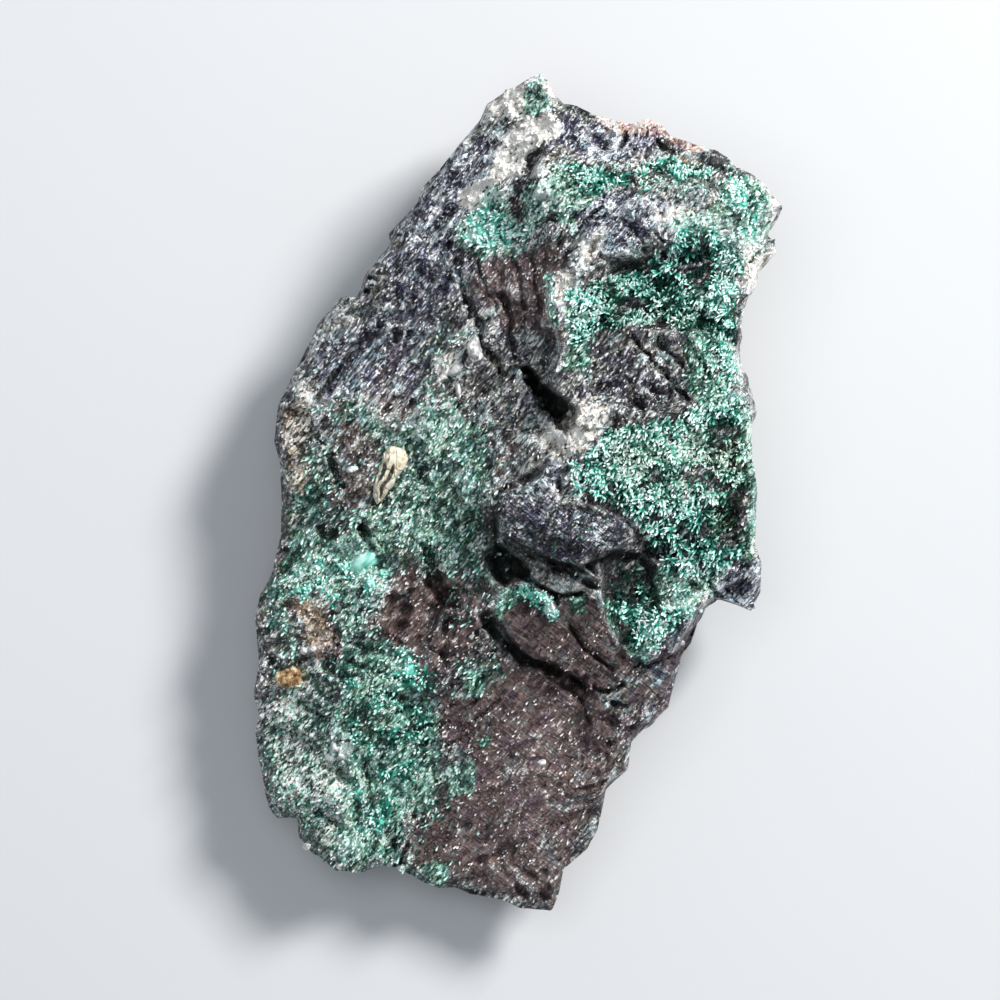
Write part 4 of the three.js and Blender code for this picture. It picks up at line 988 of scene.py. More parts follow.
class Finish:
    """One material, with the nodes that make it."""

    def __init__(self, name):
        self.material = bpy.data.materials.new(name)
        self.material.use_nodes = True
        self.tree = self.material.node_tree
        self.shader = self.tree.nodes["Principled BSDF"]

    def node(self, kind, settings, sockets, output=0):
        node = self.tree.nodes.new(kind)
        for key, value in settings.items():
            if key == "stops":
                self.set_stops(node.color_ramp, value)
            else:
                setattr(node, key, value)
        for key, value in sockets.items():
            self.fill(node.inputs[key], value)
        return Amount(self, node.outputs[output])

    def set_stops(self, ramp, stops):
        while len(ramp.elements) < len(stops):
            ramp.elements.new(0.5)
        for element, (position, colour) in zip(ramp.elements, stops):
            element.position = position
            element.color = (*colour, 1)

    def fill(self, socket, value):
        if isinstance(value, Amount):
            self.tree.links.new(value.socket, socket)
        else:
            socket.default_value = value

    def set(self, **values):
        for key, value in values.items():
            self.fill(self.shader.inputs[key.replace("_", " ")], value)

    def share(self, name):
        return self.node("ShaderNodeAttribute", {"attribute_name": name}, {}, "Fac")

    # The place on the piece, turned and drawn out along the grain of the rock.
    def place(self, drawn_out=1.0, angle=GRAIN_ANGLE):
        place = self.node("ShaderNodeTexCoord", {}, {}, "Object")
        if drawn_out == 1:
            return place
        sockets = {"Vector": place, "Rotation": (0, 0, angle), "Scale": (drawn_out, 1, 1)}
        return self.node("ShaderNodeMapping", {"vector_type": "TEXTURE"}, sockets)

    # Random mottling whose spots are about size millimetres across.
    def mottle(self, size, detail, drawn_out=1.0, angle=GRAIN_ANGLE):
        sockets = {"Vector": self.place(drawn_out, angle), "Scale": 1 / (size * MM),
                   "Detail": detail, "Roughness": 0.65}
        return self.node("ShaderNodeTexNoise", {}, sockets)

    def flecks(self, size, output, drawn_out=1.0):
        sockets = {"Vector": self.place(drawn_out), "Scale": 1 / (size * MM)}
        return self.node("ShaderNodeTexVoronoi", {}, sockets, output)

    def luck(self, size, drawn_out=1.0):
        colour = self.flecks(size, "Color", drawn_out)
        return self.node("ShaderNodeSeparateColor", {}, {0: colour}, 0)

    def vector(self, operation, a, b, output=0):
        return self.node("ShaderNodeVectorMath", {"operation": operation}, {0: a, 1: b}, output)

    # Tiny crystal faces, each tilted its own way, as a height in metres.
    def facets(self, size, tilt, drawn_out=1.0):
        turn = self.vector("SUBTRACT", self.flecks(size, "Color", drawn_out), (0.5, 0.5, 0.5))
        middle = self.flecks(size, "Position", drawn_out)
        offset = self.vector("SUBTRACT", self.place(drawn_out), middle)
        return self.vector("DOT_PRODUCT", turn, offset, "Value") * (2 * tilt)

    def ramp(self, amount, stops):
        return self.node("ShaderNodeValToRGB", {"stops": stops}, {0: amount})

    def mix(self, share, a, b):
        settings = {"data_type": "RGBA"}
        return self.node("ShaderNodeMix", settings, {0: share, 6: a, 7: b}, 2)

    def bump(self, height):
        return self.node("ShaderNodeBump", {}, {"Height": height, "Distance": 1.0})


# Each mineral's colours from dark to pale along the tone. The darkest end stands partly for painted shade in
# tiny pits, the nearly white end partly for painted glints.
MINERALS = {
    "grey": [
        (0.24, (0.010, 0.012, 0.014)), (0.40, (0.060, 0.065, 0.074)),
        (0.54, (0.19, 0.205, 0.22)), (0.67, (0.50, 0.53, 0.55)), (0.78, (0.90, 0.93, 0.94)),
    ],
    "metal": [
        (0.24, (0.008, 0.009, 0.020)), (0.42, (0.052, 0.056, 0.088)),
        (0.56, (0.135, 0.150, 0.205)), (0.67, (0.42, 0.46, 0.56)), (0.76, (0.90, 0.95, 1.0)),
    ],
    "maroon": [
        (0.20, (0.017, 0.009, 0.010)), (0.40, (0.082, 0.053, 0.057)),
        (0.60, (0.150, 0.110, 0.116)), (0.72, (0.30, 0.26, 0.27)), (0.80, (0.80, 0.76, 0.76)),
    ],
    "rust": [
        (0.26, (0.035, 0.020, 0.010)), (0.44, (0.17, 0.115, 0.062)),
        (0.60, (0.44, 0.36, 0.27)), (0.75, (0.86, 0.79, 0.70)),
    ],
    "pale": [
        (0.26, (0.030, 0.028, 0.024)), (0.42, (0.28, 0.25, 0.20)),
        (0.54, (0.72, 0.69, 0.61)), (0.70, (1.0, 0.99, 0.95)),
    ],
    "pink": [
        (0.22, (0.10, 0.05, 0.045)), (0.40, (0.42, 0.27, 0.25)),
        (0.56, (0.72, 0.58, 0.56)), (0.72, (0.95, 0.89, 0.87)),
    ],
    "green": [
        (0.22, (0.006, 0.032, 0.024)), (0.38, (0.042, 0.130, 0.100)),
        (0.52, (0.17, 0.37, 0.31)), (0.64, (0.40, 0.70, 0.62)), (0.77, (0.82, 0.97, 0.92)),
    ],
}
HUES = [
    (0.34, (1.16, 0.92, 1.10)), (0.42, (1.00, 0.99, 1.07)), (0.50, (1.20, 1.02, 0.78)),
    (0.57, (0.90, 1.04, 1.02)), (0.66, (0.72, 1.08, 1.04)),
]
stone = Finish("tarnished_bornite")
rods = stone.luck(0.28, 2.4)
rod_hearts = stone.flecks(0.28, "Distance", 2.4)
slivers = stone.luck(0.17, 5)
streaks = stone.mottle(0.55, 4, 3)
grains = stone.mottle(0.35, 3)
patches = stone.mottle(2.2, 6)
drift = stone.mottle(2.2, 3)
tone_and_painted_light_share = stone.share("proud")
slant_share = stone.share("slant")
lines = (
    stone.mottle(0.17, 2, 10) * (1 - slant_share)
    + stone.mottle(0.17, 2, 10, LEDGE_ANGLE) * slant_share
)
metal_share = stone.share("metal")
maroon_share = stone.share("maroon")
pale_share = stone.share("pale")
calm = 1 - stone.share("smooth") * 0.4 - metal_share * 0.42 + pale_share * 0.15
# The tone: grains, streaks and patches, with painted shade, darker in hollows and paler on rises, and the
# painted shade and highlights of the shade zones.
tone = (
    (rods * 0.34 + slivers * 0.24 - rod_hearts * 0.26 - 0.19) * calm
    + (lines - 0.5) * (metal_share * 0.5 + 0.6)
    + streaks * 0.6 + grains * 0.22 + patches * 0.78
    + tone_and_painted_light_share * 0.1 + pale_share * 0.34 + metal_share * 0.05 - 0.312
)
ragged = patches * 0.85 + streaks * 0.45 + grains * 0.3 + rods * 0.1 - 0.35
colour = stone.ramp(tone, MINERALS["grey"])
for mineral, sharpness in (
    ("metal", 3), ("maroon", 4), ("rust", 5), ("pale", 5), ("pink", 5), ("green", 6)
):
    shown = stone.share(mineral).crisp(ragged, sharpness)
    colour = stone.mix(shown, colour, stone.ramp(tone, MINERALS[mineral]))
# the hue wanders between olive, violet and green over a millimetre or two
faded = (tone * 2.4 + pale_share * 0.6 - 1.15).clamp()
hue = stone.mix(faded, stone.ramp(drift, HUES), (1, 1, 1, 1))
colour = stone.vector("MULTIPLY", colour, hue)
depth = (
    stone.mottle(0.7, 6) * (0.45 * MM)
    + lines * (0.3 * MM)
    + stone.facets(0.3, 0.7, 1.8)
) * (1 - maroon_share * 0.3 - metal_share * 0.3)
stone.set(
    Base_Color=colour,
    Metallic=metal_share * 0.45,
    Roughness=0.62 - metal_share * 0.14 - rods * 0.3,
    Normal=stone.bump(depth),
    Specular_IOR_Level=0.65,
)


def finish_piece(piece, finish, node=None):
    piece.data.materials.clear()
    piece.data.materials.append(finish.material)
    if node:
        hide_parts(node)
    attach(piece, "root")


finish_piece(rock, stone, "bornite_rock")


# ---- The brochantite druses ------------------------------------------------------------
# Crusts of brochantite, a green copper mineral, grown on the rock. Small mounds of
# needles stand close together. Each needle is a slim glassy prism with a pointed end.
DRUSES = {
    "druse_upper_block": ((14, 20.5), (72, 50), "green", [
        (5, 20.5), (8.5, 22.5), (13, 23.3), (14.5, 25.3), (19, 27.6), (22.3, 26), (23, 23.3),
        (22.6, 20.2), (22.3, 16.5), (22.2, 13), (23, 10.6), (20.8, 10.4), (19.4, 13), (19.6, 16),
        (18, 17), (14, 17.6), (10.5, 16.6), (7.5, 15.6), (5.5, 15), (5, 17)]),
    "druse_lower_block": ((15.3, 1.6), (78, 78), "green", [
        (5.4, 2.5), (8.5, 6), (15, 8), (22.6, 9.6), (23.2, 7), (23.2, 2.5), (23.7, -0.5),
        (23.4, -5), (22, -6.6), (19, -8), (15.8, -9.8), (15.3, -7), (13.4, -4.6), (12.2, -2.4),
        (9, -0.2), (5.8, 0.4)]),
    "druse_pocket": ((13, -11.6), (36, 36), "dark", [
        (9.6, -7.4), (12.4, -7.4), (13.6, -9.6), (15.6, -11.4), (17.6, -11), (17.6, -12.4),
        (16.6, -14.4), (14.8, -15.8), (13.3, -16.2), (11.2, -14.8), (10.2, -12.5), (9.2, -10)]),
    "druse_crest": ((-2.6, 27), (36, 36), "pale", [
        (-6, 27.6), (-4.5, 28.8), (-3.5, 30), (-2.7, 30.9), (-1.6, 31.2), (-1.3, 29.5),
        (-0.8, 27.8), (0.6, 27.8), (1.6, 28.2), (1.2, 26.4), (-0.4, 25.1), (-2.9, 24.9),
        (-4.7, 25.3), (-6.1, 26.4)]),
    "druse_top_edge": ((12, 32.4), (60, 18), "pale", [
        (5, 34.2), (6.5, 34.4), (8.7, 33.6), (12.8, 33.6), (17, 34.2), (19.4, 33.4), (19.8, 32),
        (18, 31.6), (13.8, 31.4), (9.7, 31.2), (7, 31), (5.4, 31), (4.8, 32.4)]),
    "druse_shoulder": ((23.2, 29.2), (20, 30), "pale", [
        (21.4, 33), (22.6, 32.2), (24, 30.8), (25, 29), (24.4, 26.8), (23.6, 26.6), (22, 28),
        (21.2, 30)]),
    "druse_seam": ((2.2, -10.8), (24, 16), "seam", [
        (-0.1, -9.2), (0.7, -8.7), (2.5, -9.6), (3.5, -10.8), (4.6, -12.2), (3.7, -12.8),
        (2.5, -11.9), (1.2, -10.8), (0.1, -10)]),
    "druse_left_edge": ((-17.6, -9.6), (48, 40), "sugary", [
        (-22.2, -6.6), (-19.2, -5), (-15.6, -5.4), (-13, -6.2), (-12.2, -9.7), (-14, -12.8),
        (-17.1, -14.8), (-19.2, -13.6), (-19.6, -11.9), (-22.2, -10.7), (-23.8, -9.7)]),
    "druse_lower_left": ((-13.5, -25.5), (44, 88), "dusty", [
        (-18.2, -17.2), (-14, -16), (-9.4, -15.6), (-7.8, -19), (-8.3, -23), (-9.9, -28.2),
        (-11.6, -33), (-13.6, -36.4), (-16.6, -35.6), (-17.6, -31.3), (-17, -26.2), (-18.1, -21)]),
}
# Needles on a square millimetre, their length and radius, the tone of the crystals and
# of the crust, from 0 dark to 1 pale, a mound's height, the share of the patch covered,
# how torn its edge is, and the material slot.
HABIT = ("density", "length", "radius", "tone", "crust", "mound", "cover", "torn", "slot")
HABITS = {
    kind: dict(zip(HABIT, values)) for kind, *values in [
        ("green", 28, 0.75, 0.105, 0.84, 0.14, 0.75, 1.05, 1, "brochantite_green"),
        ("dark", 20, 0.7, 0.12, 0.52, 0.12, 0.5, 0.9, 1, "brochantite_dark"),
        ("pale", 22, 0.66, 0.12, 0.8, 0.2, 0.5, 0.92, 1.2, "brochantite_pale"),
        ("seam", 16, 0.42, 0.1, 0.85, 0.6, 0.3, 1.3, 0.2, "brochantite_pale"),
        ("dusty", 9, 0.55, 0.12, 0.55, 0.3, 0.35, 0.42, 1.6, "brochantite_dusty"),
        ("sugary", 12, 0.55, 0.12, 0.7, 0.34, 0.35, 0.5, 1.6, "brochantite_pale"),
    ]
}
MOUND_SIZE = 0.85
MOUND_SEED = 81
# How far a crust's sheet reaches past its patch, stays clear of the rock's rim, and goes
# down into the rock.
CRUST_SPREAD = 1.2
CRUST_RIM_GAP = 0.45
CRUST_ROOT = 0.9


# For each point: the way to it from the nearest mound's middle, and that mound's luck.
def nearest_mound(x, y):
    best = np.full(x.shape, 9.0)
    away_x, away_y, luck = np.zeros(x.shape), np.zeros(x.shape), np.zeros(x.shape)
    for i, j, dx, dy in cells_round(x / MOUND_SIZE, y / MOUND_SIZE, MOUND_SEED):
        nearer = dx * dx + dy * dy < best
        best = np.where(nearer, dx * dx + dy * dy, best)
        away_x = np.where(nearer, dx, away_x)
        away_y = np.where(nearer, dy, away_y)
        luck = np.where(nearer, lattice(i, j, MOUND_SEED + 2), luck)
    return away_x, away_y, luck


# Holes among the crystals, some six tenths of a millimetre across and some two millimetres.
def holes(x, y):
    small = hills(x / 1.0 + y / 2.4, y / 1.0, 93) - 0.26
    large = hills(x / 2.3, y / 2.3, 94) - 0.4
    return np.clip(3.2 * np.maximum(small, large), 0, 1)


# How thick the crust is at a point. It is negative where the rock shows through.
def crust_height(x, y, edge, habit):
    torn = habit["torn"]
    wx = x + torn * (0.7 * hills(x / 1.7, y / 1.7, 83) + 0.3 * hills(x / 0.6, y / 0.6, 84))
    wy = y + torn * (0.7 * hills(x / 1.7, y / 1.7, 85) + 0.3 * hills(x / 0.6, y / 0.6, 86))
    inside = np.minimum(-distance_to_edge(wx, wy, edge), -distance_to_edge(x, y, OUTLINE) - 0.3)
    bare = hills(x / 1.9, y / 1.9, 87) + 0.6 * hills(x / 0.8, y / 0.8, 88)
    cover = ease(0.35 + inside / (0.2 + torn)) * ease(0.5 + (habit["cover"] * 2.4 - 1.2 - bare) / 0.5)
    dx, dy, luck = nearest_mound(x, y)
    mound = 1 - 2.2 * (dx * dx + dy * dy) + 0.35 * luck
    open_share = 1.5 * min(torn, 1) * holes(x, y)
    lift = habit["mound"] * (mound + 0.6 * hills(x / 2.9, y / 2.9, 89) - open_share)
    return (0.1 + np.maximum(lift, -0.25)) * cover - 0.35 * (1 - cover)


def slope_of(height_of, x, y, step=0.3):
    slope_x = (height_of(x + step, y) - height_of(x - step, y)) / (2 * step)
    slope_y = (height_of(x, y + step) - height_of(x, y - step)) / (2 * step)
    return slope_x, slope_y


# Many small solids of the same faces in one mesh. Each corner is given for all of them.
def copies(name, corners, faces):
    points = np.stack(corners, axis=1)
    first = np.arange(len(points))[:, None, None] * len(corners)
    mesh = bpy.data.meshes.new(name)
    mesh.from_pydata(points.reshape(-1, 3) * MM, [], (first + np.array(faces)).reshape(-1, 3))
    piece = bpy.data.objects.new(name, mesh)
    bpy.context.collection.objects.link(piece)
    return piece


# Slim three-sided prisms with pointed ends, one for each foot, all in one mesh.
def grow_needles(name, foot, direction, length, radius, tone):
    direction = direction / np.linalg.norm(direction, axis=1, keepdims=True)
    side = np.cross(direction, (0.31, 0.17, 0.93))
    side /= np.linalg.norm(side, axis=1, keepdims=True)
    other = np.cross(direction, side)
    corners = []
    for along, width in ((0.0, 0.8), (0.8, 1.0)):
        for k in range(3):
            turn = 2 * math.pi * k / 3
            spoke = math.cos(turn) * side + math.sin(turn) * other
            middle = foot + direction * (along * length)[:, None]
            corners.append(middle + spoke * (width * radius)[:, None])
    corners.append(foot + direction * length[:, None])
    faces = [
        (0, 2, 1),
        (0, 1, 4), (0, 4, 3), (1, 2, 5), (1, 5, 4), (2, 0, 3), (2, 3, 5),
        (3, 4, 6), (4, 5, 6), (5, 3, 6),
    ]
    needles = copies(name, corners, faces)
    store(needles, "tone", np.repeat(tone, len(corners)))
    store(needles, "tip", np.tile([0, 0, 0, 0.9, 0.9, 0.9, 1], len(foot)))
    return needles


# A part of the needles are painted nearly white, as painted glints. The rest are deep
# green, painted darker in the holes among the crystals as painted shade.
def needle_tones(rng, x, y, usual):
    patch = 0.36 * hills(x / 2.6, y / 2.6, 91) + 0.44 * hills(x / 0.9, y / 0.9, 92)
    tone = usual + patch + 0.35 * shade(x, y) - 0.85 * holes(x, y)
    bright = rng.uniform(0, 1, len(x)) < tone
    spread = rng.uniform(0, 1, len(x))
    dull = (0.15 + 0.6 * spread) * np.clip(tone + 0.2, 0.15, 1)
    return np.where(bright, 0.66 + 0.25 * tone + 0.34 * (spread - 0.5), dull)


def scatter(rng, low, high, density):
    count = int((high[0] - low[0]) * (high[1] - low[1]) * density)
    return rng.uniform(low[0], high[0], count), rng.uniform(low[1], high[1], count)


BROCHANTITE = [
    (0.0, (0.001, 0.012, 0.008)), (0.18, (0.003, 0.066, 0.044)),
    (0.36, (0.030, 0.260, 0.195)), (0.53, (0.13, 0.60, 0.49)),
    (0.70, (0.48, 0.90, 0.80)), (0.90, (0.92, 1.0, 0.99)),
]
OLIVE = [
    (0.0, (0.006, 0.010, 0.004)), (0.26, (0.035, 0.055, 0.024)),
    (0.5, (0.18, 0.25, 0.15)), (0.74, (0.56, 0.70, 0.52)), (0.95, (0.90, 0.96, 0.86)),
]
# The crystals on these parts of the blocks are dull olive.
OLIVE_ZONES = [
    ([(11.2, 7.3), (19, 8), (23.6, 5.8), (24.1, -0.4), (19, -0.4), (14.8, 1.6), (12.8, -0.4),
      (10.2, 2.7)], 4, 0.35),
    ([(17.9, 5.3), (22, 5.8), (23.1, 2.7), (19, 1.6)], 2.5, 0.6),
    ([(19, 0.6), (23.6, 0.1), (23.1, -3.5), (19.5, -3)], 2.5, 0.6),
    ([(8.1, 24.3), (12.8, 20.2), (17.9, 20.2), (20.5, 20.2), (20.5, 16.6), (17.9, 11.9),
      (12.8, 17.1), (8.7, 16.6)], 4, 0.3),
    ([(9.2, -6.6), (12.8, -6.6), (13.3, -9.7), (10.2, -9.7)], 2, 0.5),
]
olive = survey(lambda x, y: zone(x, y, OLIVE_ZONES))
crystal = Finish("brochantite_crystal")
# Each needle is painted darker towards its foot and paler at its tip, as painted shade among the crystals.
tone_with_painted_foot_shade = (crystal.share("tone") * (0.4 + crystal.share("tip") * 0.68)).clamp()
crystal.set(
    Base_Color=crystal.mix(
        crystal.share("olive"),
        crystal.ramp(tone_with_painted_foot_shade, BROCHANTITE),
        crystal.ramp(tone_with_painted_foot_shade, OLIVE),
    ),
    Roughness=0.32,
    IOR=1.65,
)


def grow_druse(name, centre, cells, habit, edge, seed):
    rng = np.random.default_rng(seed)
    crust = sheet_box(name, cells, 2)
    w, out, angle = spread_of(crust, edge, centre)
    rock_reach = reach_of(OUTLINE, centre, angle) - CRUST_RIM_GAP
    reach = np.minimum(reach_of(edge, centre, angle) + CRUST_SPREAD, rock_reach)
    x, y = out_from(centre, out * reach, angle)
    edge_drop = 0.4 * ease((out - 0.93) / 0.07)
    thick = np.where(w > 0.75, crust_height(x, y, edge, habit) - edge_drop, -CRUST_ROOT)
    write_points(crust, np.stack([x, y, ground(x, y) + thick], axis=1))
    dx, dy, luck = nearest_mound(x, y)
    # The crust is painted darker away from each mound's middle, as painted shade between the mounds, and
    # takes the shade zones.
    patchy_and_painted_shade = 0.14 * hills(x / 0.35, y / 0.35, seed) - 0.5 * (dx * dx + dy * dy) + 0.1 * luck
    store(crust, "tone", habit["crust"] + patchy_and_painted_shade + 0.3 * shade(x, y))
    store(crust, "tip", np.full(len(x), 1.0))

    low, high = np.min(edge, axis=0) - 1, np.max(edge, axis=0) + 1
    x, y = scatter(rng, low, high, habit["density"])
    lift = crust_height(x, y, edge, habit)
    kept = lift + rng.uniform(-0.12, 0.2, len(x)) > 0
    x, y, lift = x[kept], y[kept], np.maximum(lift[kept], 0)
    slope_x, slope_y = slope_of(ground, x, y)
    dx, dy, luck = nearest_mound(x, y)
    along = rng.normal(0, 1.1, len(x))
    direction = np.stack([
        dx - 0.5 * slope_x + along * math.cos(GRAIN_ANGLE) + rng.normal(0, 0.25, len(x)),
        dy - 0.5 * slope_y + along * math.sin(GRAIN_ANGLE) + rng.normal(0, 0.25, len(x)),
        np.full(len(x), 0.7),
    ], axis=1)
    foot = np.stack([x, y, ground(x, y) + lift - 0.1], axis=1)
    length = habit["length"] * rng.uniform(0.55, 1.35, len(x))
    radius = habit["radius"] * rng.uniform(0.65, 1.4, len(x))
    # The needles are painted darker towards the edges of their mound, as painted shade between the mounds.
    tone = needle_tones(rng, x, y, habit["tone"] + 0.2 * luck - 0.7 * (dx * dx + dy * dy))
    needles = grow_needles(name + "_needles", foot, direction, length, radius, tone)
    join(crust, [needles])
    x, y, _ = read_points(crust).T / MM
    store(crust, "olive", olive(x, y) * (1 + 0.7 * hills(x / 0.9, y / 0.9, 95)))
    return crust


for number, (name, (centre, cells, kind, edge)) in enumerate(DRUSES.items()):
    druse = grow_druse(name + "_crystals", centre, cells, HABITS[kind], edge, 100 + number)
    finish_piece(druse, crystal, name)


# ---- The loose crystals ----------------------------------------------------------------
# Brochantite needles lie singly and in sprays all over the left of the rock, and small
# pale flakes of quartz and ore lie everywhere, many painted nearly white as painted glints.
LOOSE_GREEN = {"density": 3.4, "length": 0.6, "radius": 0.11, "tone": 0.8}
PALE_AND_PAINTED_GLINT_FLAKES = {"density": 2.6, "length": 0.42, "radius": 0.08, "tone": 0.74}
# How far the needles turn from the grain, in radians, and at least how far from the rim.
NEEDLE_TURN = 0.28
NEEDLE_RIM_GAP = 0.5
FLAKE_GREYS = [
    (0.0, (0.012, 0.010, 0.011)), (0.3, (0.07, 0.06, 0.06)), (0.55, (0.30, 0.28, 0.28)),
    (0.78, (0.78, 0.76, 0.75)), (0.95, (0.98, 0.97, 0.96)),
]
flake = Finish("pale_and_painted_glint_flake")
# Each flake is painted darker towards its foot and paler at its tip, as painted shade.
flake_light = (flake.share("tone") * (0.4 + flake.share("tip") * 0.68)).clamp()
flake.set(Base_Color=flake.ramp(flake_light, FLAKE_GREYS), Roughness=0.3)


def lay_needles(name, habit, share_of, seed):
    rng = np.random.default_rng(seed)
    low, high = np.min(OUTLINE, axis=0), np.max(OUTLINE, axis=0)
    x, y = scatter(rng, low, high, habit["density"])
    sprays = 0.5 + 0.35 * hills(x / 1.6, y / 1.6, seed) + 0.25 * hills(x / 0.7, y / 0.7, seed + 1)
    share = share_of(x, y)
    kept = share * 1.5 > np.maximum(sprays, 0.15) + rng.uniform(-0.3, 0.3, len(x))
    kept &= (share > 0.04) & (distance_to_edge(x, y, OUTLINE) < -NEEDLE_RIM_GAP)
    x, y = x[kept], y[kept]
    slope_x, slope_y = slope_of(ground, x, y)
    turn = GRAIN_ANGLE + rng.normal(0, NEEDLE_TURN, len(x))
    turn += math.pi * (rng.uniform(0, 1, len(x)) > 0.5)
    run_x, run_y = np.cos(turn), np.sin(turn)
    rise = rng.uniform(0.0, 0.7, len(x))
    direction = np.stack([
        run_x - rise * 0.4 * slope_x,
        run_y - rise * 0.4 * slope_y,
        run_x * slope_x + run_y * slope_y + rise,
    ], axis=1)
    foot = np.stack([x, y, ground(x, y) + 0.02], axis=1)
    length = habit["length"] * rng.uniform(0.5, 1.5, len(x))
    radius = habit["radius"] * rng.uniform(0.7, 1.4, len(x))
    needles = grow_needles(
        name, foot, direction, length, radius, needle_tones(rng, x, y, habit["tone"])
    )
    store(needles, "olive", np.full(len(needles.data.vertices), 0.3))
    return needles


def flake_share(x, y):
    return 0.7 - 0.3 * np.maximum(minerals["maroon"](x, y), smoothness(x, y))


loose_green = lay_needles("loose_green_needles", LOOSE_GREEN, minerals["green"], 301)
finish_piece(loose_green, crystal)
pale_and_painted_glint_flakes = lay_needles("pale_and_painted_glint_flakes", PALE_AND_PAINTED_GLINT_FLAKES, flake_share, 302)
finish_piece(pale_and_painted_glint_flakes, flake)


# ---- The crumbs ------------------------------------------------------------------------
# Angular crumbs and grains of the same stone stand out of its broken surface, some a
# tenth and some half a millimetre across.
CRUMB_DENSITY = 2.6
CRUMB_RIM_GAP = 0.3
CRUMB_SHAPE = (1.7, 1, 0.8)


def strew_crumbs(name, seed):
    rng = np.random.default_rng(seed)
    low, high = np.min(OUTLINE, axis=0), np.max(OUTLINE, axis=0)
    x, y = scatter(rng, low, high, CRUMB_DENSITY)
    kept = (distance_to_edge(x, y, OUTLINE) < -CRUMB_RIM_GAP) & (
        rng.uniform(0, 1, len(x)) > 0.93 * np.maximum(minerals["maroon"](x, y), smoothness(x, y))
    )
    x, y = x[kept], y[kept]
    count = len(x)
    size = 0.1 + 0.22 * rng.uniform(0, 1, count) ** 3 + 0.06 * minerals["pale"](x, y)
    corners = np.array([(i, j, k) for k in (-1, 1) for j in (-1, 1) for i in (-1, 1)], float)
    shape = corners[None] * rng.uniform(0.5, 1.1, (count, 8, 3)) * size[:, None, None]
    shape *= np.array(CRUMB_SHAPE)
    turn = GRAIN_ANGLE + rng.normal(0, 0.6, count)
    tilt = rng.normal(0, 0.5, (2, count))
    a, b, c = shape.T
    b, c = turned(b, c, -tilt[0])
    a, c = turned(a, c, -tilt[1])
    a, b = turned(a, b, -turn)
    c = c + ground(x, y) + size * rng.uniform(-0.3, 0.5, count)
    faces = [
        (0, 2, 3), (0, 3, 1), (4, 5, 7), (4, 7, 6), (0, 1, 5), (0, 5, 4),
        (2, 6, 7), (2, 7, 3), (0, 4, 6), (0, 6, 2), (1, 3, 7), (1, 7, 5),
    ]
    crumbs = copies(name, np.stack([a + x, b + y, c], axis=2), faces)
    store_minerals(crumbs, np.repeat(rng.normal(0.1, 0.7, count), len(corners)))
    return crumbs


finish_piece(strew_crumbs("rock_crumbs", 401), stone)


# ---- The bedded grains -----------------------------------------------------------------
# A hollow cream pod, glassy quartz, a smooth mint blob and small pebbles lie half sunk in
# the rock. Each is a dome over its own edge, and its underside is hidden in the rock.
GRAIN_ROOT = 0.7


def bed_grain(name, edge, height, roundness, chipped, seed, cells=(26, 26)):
    grain = sheet_box(name, cells, 2)
    centre = tuple(np.mean(edge, axis=0))
    w, out, angle = spread_of(grain, edge, centre)
    x, y = out_from(centre, out * reach_of(edge, centre, angle), angle)
    middle_x, middle_y = np.array(centre[:1]), np.array(centre[1:])
    slope_x, slope_y = slope_of(ground, middle_x, middle_y, 1.0)
    level = ground(middle_x, middle_y) + slope_x * (x - middle_x) + slope_y * (y - middle_y)
    top = level + height * (1 - out ** roundness) + chipped * chips(x / 0.8, y / 0.8, seed)
    bottom = level - GRAIN_ROOT
    write_points(grain, np.stack([x, y, bottom + (top - bottom) * np.clip(w, 0, 1)], axis=1))
    store(grain, "dome", 1 - out)
    return grain


# An uneven ring of nine points.
def pebble_edge(centre, half, turn, rng):
    edge = []
    for k in range(9):
        angle, far = 2 * math.pi * k / 9, rng.uniform(0.8, 1.1)
        a, b = half[0] * far * math.cos(angle), half[1] * far * math.sin(angle)
        edge.append((centre[0] + a * math.cos(turn) - b * math.sin(turn),
                     centre[1] + a * math.sin(turn) + b * math.cos(turn)))
    return edge


POD_EDGE = [
    (-13.8, 3.4), (-13.6, 4.4), (-12.9, 5.1), (-11.9, 5.2), (-11.2, 4.6), (-11, 3.8),
    (-11.2, 2.9), (-11.8, 2.3), (-12.3, 1.8), (-12.5, 1.1), (-13.1, 0.5), (-13.6, -0.3),
    (-14.3, -0.9), (-14.7, 0), (-14.7, 1), (-14.4, 2), (-14.1, 2.7),
]
POD_HOLLOW = [
    (-13.7, 3.2), (-13.1, 3.8), (-12.6, 3.2), (-12.3, 2.4), (-12.9, 1.5), (-13.4, 0.5),
    (-14, -0.3), (-14.4, 0.5), (-14.2, 1.8),
]
pod = bed_grain("cream_pod", POD_EDGE, 0.9, 5, 0, 0, (48, 64))
pod_points = read_points(pod) / MM
pod_x, pod_y = pod_points[:, 0], pod_points[:, 1]
hollow = ease(0.5 - distance_to_edge(pod_x, pod_y, POD_HOLLOW) / 0.35)
across = 0.93 * pod_x - 0.36 * pod_y
waves = np.sin(8.4 * across + 2.4 * hills(pod_x / 0.9, pod_y / 0.9, 513))
crinkles = np.clip(0.55 + 1.5 * waves, 0, 1)
creases = np.clip(1 - 8 * abs(hills(pod_x / 0.6, pod_y / 1.0, 514)), 0, 1)
folds = 0.5 * crinkles * hollow - 0.12 * creases
is_top = pod_points[:, 2] > np.median(pod_points[:, 2]) - 0.3
pod_points[:, 2] -= is_top * (0.55 * hollow - folds - 0.08 * hills(pod_x / 0.7, pod_y / 0.7, 512))
write_points(pod, pod_points)
